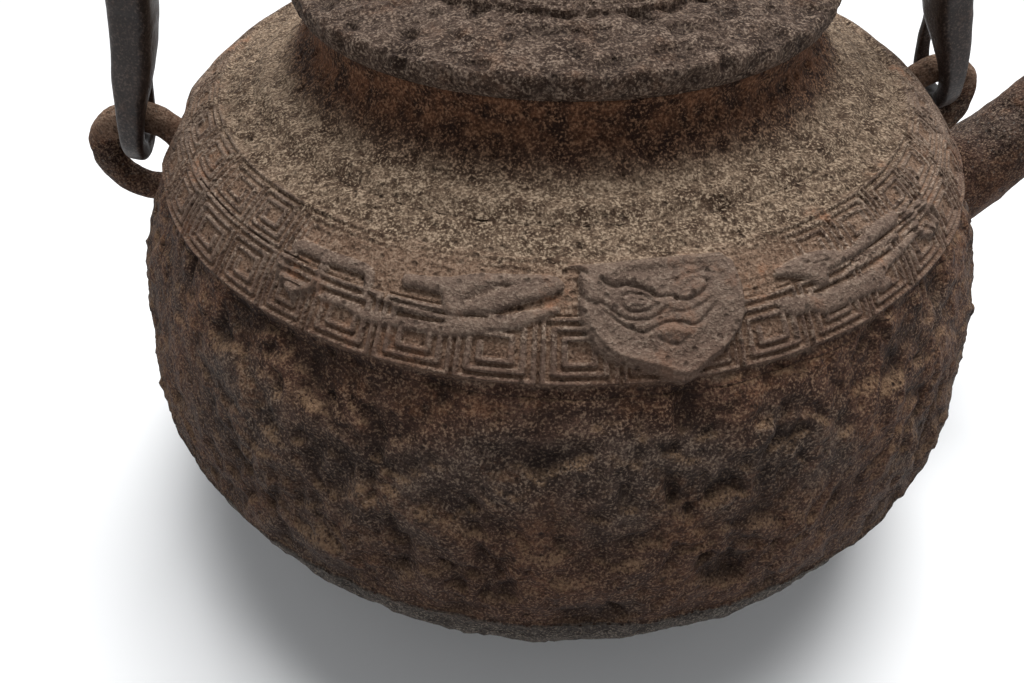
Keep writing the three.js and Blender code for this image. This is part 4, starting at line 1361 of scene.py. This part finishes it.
@dataclass(frozen=True)
class LidCasting:
    """The loose domed lid with its ring of square meanders."""

    radius: float = 49.1
    under: float = 113.4
    edge: float = 4.0
    crown: float = 4.4
    roundness: float = 1.7
    plate: float = 3.4
    seat_radius: float = 11.5
    stem_hole: float = 1.9
    band_outer: float = 34.5
    band_inner: float = 24.5
    squares: int = 16
    first_gap: float = -4.4
    mouth_radius: float = 42.0

    def crown_height(self, radius: Array) -> Array:
        """Give the top's height at a radius."""
        share = np.clip((radius - self.seat_radius) / (self.radius - self.seat_radius), 0, None)
        return self.under + self.edge + self.crown * (1 - share**self.roundness)

    def relief(self, azimuth: Array, arc: Array, place: Array) -> Array:
        """Give the bumpy cast top and its meander ring.

        Args:
            azimuth: Degrees from the front, positive towards the spout.
            arc: Millimetres along the outside.
            place: Rows of x, y, z in millimetres.

        Returns:
            Height over the plain wall, in millimetres.
        """
        radius = from_axis(place)
        top = place[:, 2] > self.under + 1.5
        lumps = 0.5 * ROCK.layers(place / 4.4 + 3, 2) + 0.22 * ROCK.layers(place / 1.8 + 3, 2)
        dents = 0.75 * smooth(0.12, 0.5, ROCK.at(place / 4.0 + 55))
        sand = 0.07 * SKIN.at(place / 1.1)
        calm = smooth(self.seat_radius + 0.5, self.seat_radius + 3, radius)
        in_band = smooth(self.band_outer + 0.2, self.band_outer - 0.2, radius) * smooth(
            self.band_inner - 0.2, self.band_inner + 0.2, radius)
        pitch = 360 / self.squares
        angle = np.mod(azimuth - self.first_gap, pitch) / pitch * 2 - 1
        middle = (self.band_outer + self.band_inner) / 2
        half_u = middle * math.pi / self.squares - 0.5
        half_v = (self.band_outer - self.band_inner) / 2 - 0.2
        across = angle * (half_u + 0.5) / half_u
        up = (radius - middle) / half_v
        line = SquareSpiral(turns=4, line=0.3, groove=0.22).height(across, up, half_u, half_v)
        held = smooth(1.08, 1.0, np.maximum(np.abs(across), np.abs(up)))
        worn = np.clip(0.85 + 0.4 * WEAR.layers(place / 8.0, 2), 0.35, 1.1)
        ornament = in_band * held * (0.2 + 0.6 * line) * worn
        rough = (lumps - dents) * (1 - 0.75 * in_band) + sand
        return np.where(top, calm * (rough + ornament), 0.45 * np.minimum(rough, 0))

    def build(self, finish: bpy.types.Material) -> None:
        """Make and dress the lid.

        Args:
            finish: The material of the lid.
        """
        radii = np.linspace(self.stem_hole, self.radius - 0.9, 120)
        top = np.stack([radii, self.crown_height(radii)], 1)
        turn = np.linspace(math.pi / 2, 0, 7)[1:]
        corner = np.stack([
            self.radius - 0.9 + 0.75 * np.cos(turn), top[-1, 1] - 0.9 + 0.9 * np.sin(turn)], 1)
        side = [(self.radius - 0.15, self.under + 1.6), (self.radius - 0.35, self.under + 0.7)]
        outside = Run.even(np.vstack([top, corner, side]), 0.4)
        skirt = self.mouth_radius - 0.9
        ceiling = self.under + self.edge + self.crown - self.plate
        inside = [
            (self.radius - 1.0, self.under), (skirt, self.under), (skirt, self.under - 4.7),
            (skirt - 0.5, self.under - 5.2), (skirt - 1.9, self.under - 5.2),
            (skirt - 2.4, self.under - 4.7), (skirt - 2.6, ceiling - 3.6), (skirt - 3.6, ceiling - 2.7),
            (27.7, ceiling - 1.3), (14.0, ceiling - 0.2), (8.0, ceiling), (self.stem_hole, ceiling)]
        mesh = spun_wall("lid_casting", outside, inside, self.relief, 640)
        dress(finish_object("lid_casting", mesh, 60.0), finish, "cast_lid", "lid", "lid")


@dataclass(frozen=True)
class KnobSet:
    """The bud knob, its flower-shaped seat and the washer that holds its rivet."""

    seat_bottom: float = 122.1
    seat_thickness: float = 1.6
    seat_radius: float = 10.5
    lobes: int = 8
    lobe_depth: float = 0.9
    stem_hole: float = 1.9
    stem_radius: float = 1.6
    knob_height: float = 20.0
    washer_top: float = 118.1
    washer_thickness: float = 0.9
    washer_radius: float = 6.0

    def build(self, finish: bpy.types.Material) -> None:
        """Make and dress seat, washer and knob."""
        dress(self._seat(), finish, "knob_iron", "lid", "knob_seat")
        dress(self._washer(), finish, "knob_iron", "lid", "knob_washer")
        dress(self._knob(), finish, "knob_iron", "knob", "knob")

    def _seat(self) -> bpy.types.Object:
        """Spin a thin plate and press petals into it."""
        low, high = self.seat_bottom, self.seat_bottom + self.seat_thickness
        top = np.array([
            (self.stem_hole, high), (self.seat_radius - 0.5, high), (self.seat_radius, high - 0.5),
            (self.seat_radius, low + 0.3)])
        run = Run.even(top, 0.3)
        mesh = spun_wall(
            "knob_seat_flower", run, [(self.seat_radius - 0.3, low), (self.stem_hole, low)], plain, 192)
        rows = read_rows(mesh) / MM
        angle = np.arctan2(rows[:, 1], rows[:, 0])
        radius = from_axis(rows)
        lobe = np.abs(np.cos(angle * self.lobes / 2)) ** 0.6
        pull = 1 - (self.lobe_depth / self.seat_radius) * (1 - lobe) * smooth(3.0, 9.0, radius)
        rows[:, :2] *= pull[:, None]
        upper = rows[:, 2] > high - 0.6
        vein = smooth(0.35, 0.0, lobe) * smooth(3.5, 6.0, radius)
        rim = smooth(8.8, 9.4, radius * (1 + 0.04 * (1 - lobe)))
        rows[upper, 2] -= (0.5 * vein + 0.25 * (1 - rim) * smooth(5.2, 6.0, radius))[upper]
        write_rows(mesh, rows * MM)
        return finish_object("knob_seat_flower", mesh, 45.0)

    def _washer(self) -> bpy.types.Object:
        """Spin the plain washer under the lid."""
        low = self.washer_top - self.washer_thickness
        run = Run.even(np.array([
            (self.stem_hole, self.washer_top), (self.washer_radius - 0.25, self.washer_top),
            (self.washer_radius, self.washer_top - 0.25)]), 0.3)
        under = [(self.washer_radius, low + 0.2), (self.washer_radius - 0.2, low), (self.stem_hole, low)]
        mesh = spun_wall("knob_rivet_washer", run, under, plain, 96)
        return finish_object("knob_rivet_washer", mesh, 45.0)

    def _knob(self) -> bpy.types.Object:
        """Spin the bud with its stem and rivet head."""
        foot = self.seat_bottom + self.seat_thickness + 0.3
        bud = catmull(np.array([
            (5.2, 0.0), (5.2, 0.045), (4.3, 0.09), (3.5, 0.15), (3.5, 0.22), (4.6, 0.28),
            (7.6, 0.37), (9.5, 0.46), (9.85, 0.55), (9.0, 0.68), (6.4, 0.81), (2.8, 0.93),
            (0.0, 0.995)]), 8)
        bud[:, 1] = foot + bud[:, 1] * self.knob_height
        head = self.washer_top - self.washer_thickness - 0.3
        outside = Run.even(bud[::-1], 0.28)
        inside = [
            (self.stem_radius, foot), (self.stem_radius, head), (3.6, head), (3.5, head - 0.9),
            (2.4, head - 1.6), (0.0, head - 1.6)]
        mesh = spun_wall("knob_bud", outside, inside, self.bud_relief, 144)
        return finish_object("knob_bud", mesh, 45.0)

    def bud_relief(self, azimuth: Array, arc: Array, place: Array) -> Array:
        """Give the bud its cast skin and the groove round its foot."""
        return 0.06 * SKIN.layers(place / 2.4, 2) - 0.12 * bump(24.0, 0.7, arc)


@dataclass(frozen=True)
class ForgedBail:
    """The arched iron bail whose ends hook round the ring lugs."""

    lean: float = 18.0
    # the hook's loop is centred on the lug's bar, 8 mm from the ring's centre and half the lean inwards
    hinge_reach: float = 85.8 - 8.0 * math.sin(math.radians(9.0))
    hinge_height: float = 83.5 + 8.0 * math.cos(math.radians(9.0))
    rise: float = 110.0
    arm: float = 48.0
    corner_pull: float = 50.0
    crown_pull: float = 38.0
    bar: tuple[float, float] = (7.5, 10.9)
    grip: tuple[float, float] = (7.8, 13.8)
    squareness: float = 3.6

    def hook(self) -> Array:
        """List the hook: place front to back, height up the arm, thickness, width."""
        return np.array([
            (3.4, 15.6, 1.9, 1.7), (4.1, 11.5, 2.3, 2.1), (5.2, 6.5, 2.4, 2.2), (5.6, 2.0, 2.7, 2.4),
            (5.0, -2.6, 3.2, 2.8), (3.2, -5.4, 3.6, 3.4), (0.4, -6.5, 3.8, 4.1), (-3.3, -5.6, 3.9, 4.2),
            (-5.9, -2.8, 4.0, 4.2), (-6.5, 0.6, 4.3, 4.3), (-6.1, 4.2, 4.9, 4.9), (-4.7, 8.4, 6.0, 6.3),
            (-2.5, 12.6, 6.8, 8.4), (-0.8, 16.8, 7.3, 10.4), (0.0, 21.5, 7.5, 10.9)])

    def half(self) -> tuple[Array, Array]:
        """Lay out the right half from the hook's tail to the crown.

        Returns:
            Rows of x, y, z, thickness, width, and the rows' across directions.
        """
        lean = math.radians(self.lean)
        hinge = np.array([self.hinge_reach, 0, self.hinge_height])
        up = np.array([-math.sin(lean), 0, math.cos(lean)])
        across = np.array([-math.cos(lean), 0, -math.sin(lean)])
        hook = self.hook()
        rows = np.column_stack([
            hinge + hook[:, :1] * AXIS_Y + hook[:, 1:2] * up, hook[:, 2], hook[:, 3]])
        rows = catmull(rows, 12)
        top_arm = hinge + up * self.arm
        crown = np.array([0, 0, self.hinge_height + self.rise])
        arm = hinge + up * np.linspace(22.5, self.arm, 16, endpoint=False)[:, None]
        arch = bezier((top_arm, top_arm + up * self.corner_pull,
                       crown + np.array([self.crown_pull, 0, 0]), crown), 90)
        rise = np.vstack([arm, arch])
        share = smooth(0.3, 1.0, np.linspace(0, 1, len(rise)))[:, None]
        size = np.array(self.bar) * (1 - share) + np.array(self.grip) * share
        slope = np.gradient(rise, axis=0)
        fixed = np.repeat(across[None], len(rows), axis=0)
        turning = unit(np.stack([-slope[:, 2], 0 * slope[:, 0], slope[:, 0]], 1))
        return np.vstack([rows, np.hstack([rise, size])]), np.vstack([fixed, turning])

    def hammered(self, place: Array) -> Array:
        """Give the hammer's flats and a fine scale on the forged bar."""
        near_hook = smooth(98.0, 112.0, place[:, 2])
        flats = -0.22 * smooth(0.0, 0.5, np.abs(SKIN.at(place / 7.5))) - 0.02
        return (0.35 + 0.65 * near_hook) * (flats + 0.08 * SKIN.layers(place / 3.0, 2))

    def build(self, finish: bpy.types.Material) -> None:
        """Make and dress the bail."""
        rows, across = self.half()
        mirror = np.array([-1.0, 1, 1])
        left = rows[:-1][::-1].copy()
        left[:, :3] *= mirror
        across = np.vstack([across, across[:-1][::-1] * mirror])
        rows = np.vstack([rows, left])
        mesh = straight_bar(36, 900, "bail_bar")
        sweep = Sweep(rows[:, :3], across, rows[:, 3:])
        roughen(mesh, sweep.bend(mesh, self.squareness), self.hammered)
        dress(finish_object("bail_bar", mesh, 60.0), finish, "forged_bail", "bail", "bail")


# Table, light and camera


@dataclass(frozen=True)
class Studio:
    """The pale table, the soft light and the photograph's viewpoint."""

    eye: Point = (-24.9, -135.6, 158.7)
    yaw: float = 6.42
    pitch: float = 46.19
    roll: float = -0.41
    lens: float = 23.98
    fill: float = 0.27

    def build(self) -> None:
        """Make floor, world, lamps and camera."""
        self._floor()
        self._world()
        self._lamp("sky_panel", (0.10, 0.22, 0.80), 0.46, 10.6)
        self._lamp("front_panel", (-0.5, -0.75, 0.6), 0.4, 0.9)
        self._camera()
        bpy.context.scene.view_settings.view_transform = "Standard"

    def _floor(self) -> None:
        """Lay the pale table top, white to the eye but still shadowed."""
        bm = bmesh.new()
        bmesh.ops.create_grid(bm, x_segments=2, y_segments=2, size=4.0)
        floor = finish_object("table", to_mesh(bm, "table"))
        material = bpy.data.materials.new("pale_table")
        s = Shader(material)
        shade = s.mix(s.noise(s.place(), 0.004, 2.0), (0.80, 0.81, 0.82), (0.86, 0.865, 0.87))
        s.finish({"Base Color": shade, "Roughness": 0.6, "Specular IOR Level": 0.2})
        floor.data.materials.append(material)
        floor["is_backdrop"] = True

    def _world(self) -> None:
        """Fill the room with weak light, white only to the camera and to mirrors."""
        world = bpy.data.worlds.new("studio")
        bpy.context.scene.world = world
        s = Shader(world)
        camera = s.node("ShaderNodeLightPath", {}, {}, "Is Camera Ray")
        white = camera | camera.beside("Is Glossy Ray") | camera.beside("Is Transmission Ray")
        lit, seen = (
            s.node("ShaderNodeBackground", {}, {"Color": colour, "Strength": strength})
            for colour, strength in (((0.95, 0.97, 1.0, 1.0), self.fill), ((1.0, 1.0, 1.0, 1.0), 1.0)))
        backdrop = s.node("ShaderNodeMixShader", {}, {0: white, 1: lit, 2: seen})
        s.node("ShaderNodeOutputWorld", {}, {"Surface": backdrop})

    def _lamp(self, name: str, place: Point, size: float, power: float) -> None:
        """Hang a soft square panel that faces the kettle."""
        light = bpy.data.lights.new(name, "AREA")
        light.size = size
        light.energy = power
        lamp = bpy.data.objects.new(name, light)
        lamp.location = place
        aim = Vector((0, 0, 0.07)) - Vector(place)
        lamp.rotation_euler = aim.to_track_quat("-Z", "Y").to_euler()
        bpy.context.scene.collection.objects.link(lamp)

    def _camera(self) -> None:
        """Stand the camera where the photograph was taken."""
        data = bpy.data.cameras.new("eye")
        data.lens = self.lens
        data.sensor_width = 36.0
        data.clip_start = 0.005
        data.clip_end = 20.0
        camera = bpy.data.objects.new("eye", data)
        yaw, pitch, roll = (math.radians(a) for a in (self.yaw, self.pitch, self.roll))
        right = Vector((math.cos(yaw), -math.sin(yaw), 0))
        ahead = Vector((math.sin(yaw) * math.cos(pitch), math.cos(yaw) * math.cos(pitch), -math.sin(pitch)))
        above = right.cross(ahead)
        side = math.cos(roll) * right + math.sin(roll) * above
        top = -math.sin(roll) * right + math.cos(roll) * above
        turn = Matrix((side, top, -ahead)).transposed()
        camera.rotation_euler = turn.to_euler()
        camera.location = Vector(self.eye) * MM
        bpy.context.scene.collection.objects.link(camera)
        bpy.context.scene.camera = camera


def main() -> None:
    """Build the kettle piece by piece and note both boxes."""
    logging.basicConfig(level=logging.INFO, format="%(message)s")
    Studio().build()
    KettleCasting().build(BODY_FINISH.material())
    LidCasting().build(LID_FINISH.material())
    KnobSet().build(KNOB_FINISH.material())
    ForgedBail().build(BAIL_FINISH.material())
    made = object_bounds()
    boxes = {"cad": [list(c) for c in CAD_BOX], "visual": [list(c) for c in made]}
    log.info("CAD box %s, visual box %s", boxes["cad"], boxes["visual"])


if __name__ == "__main__":
    main()
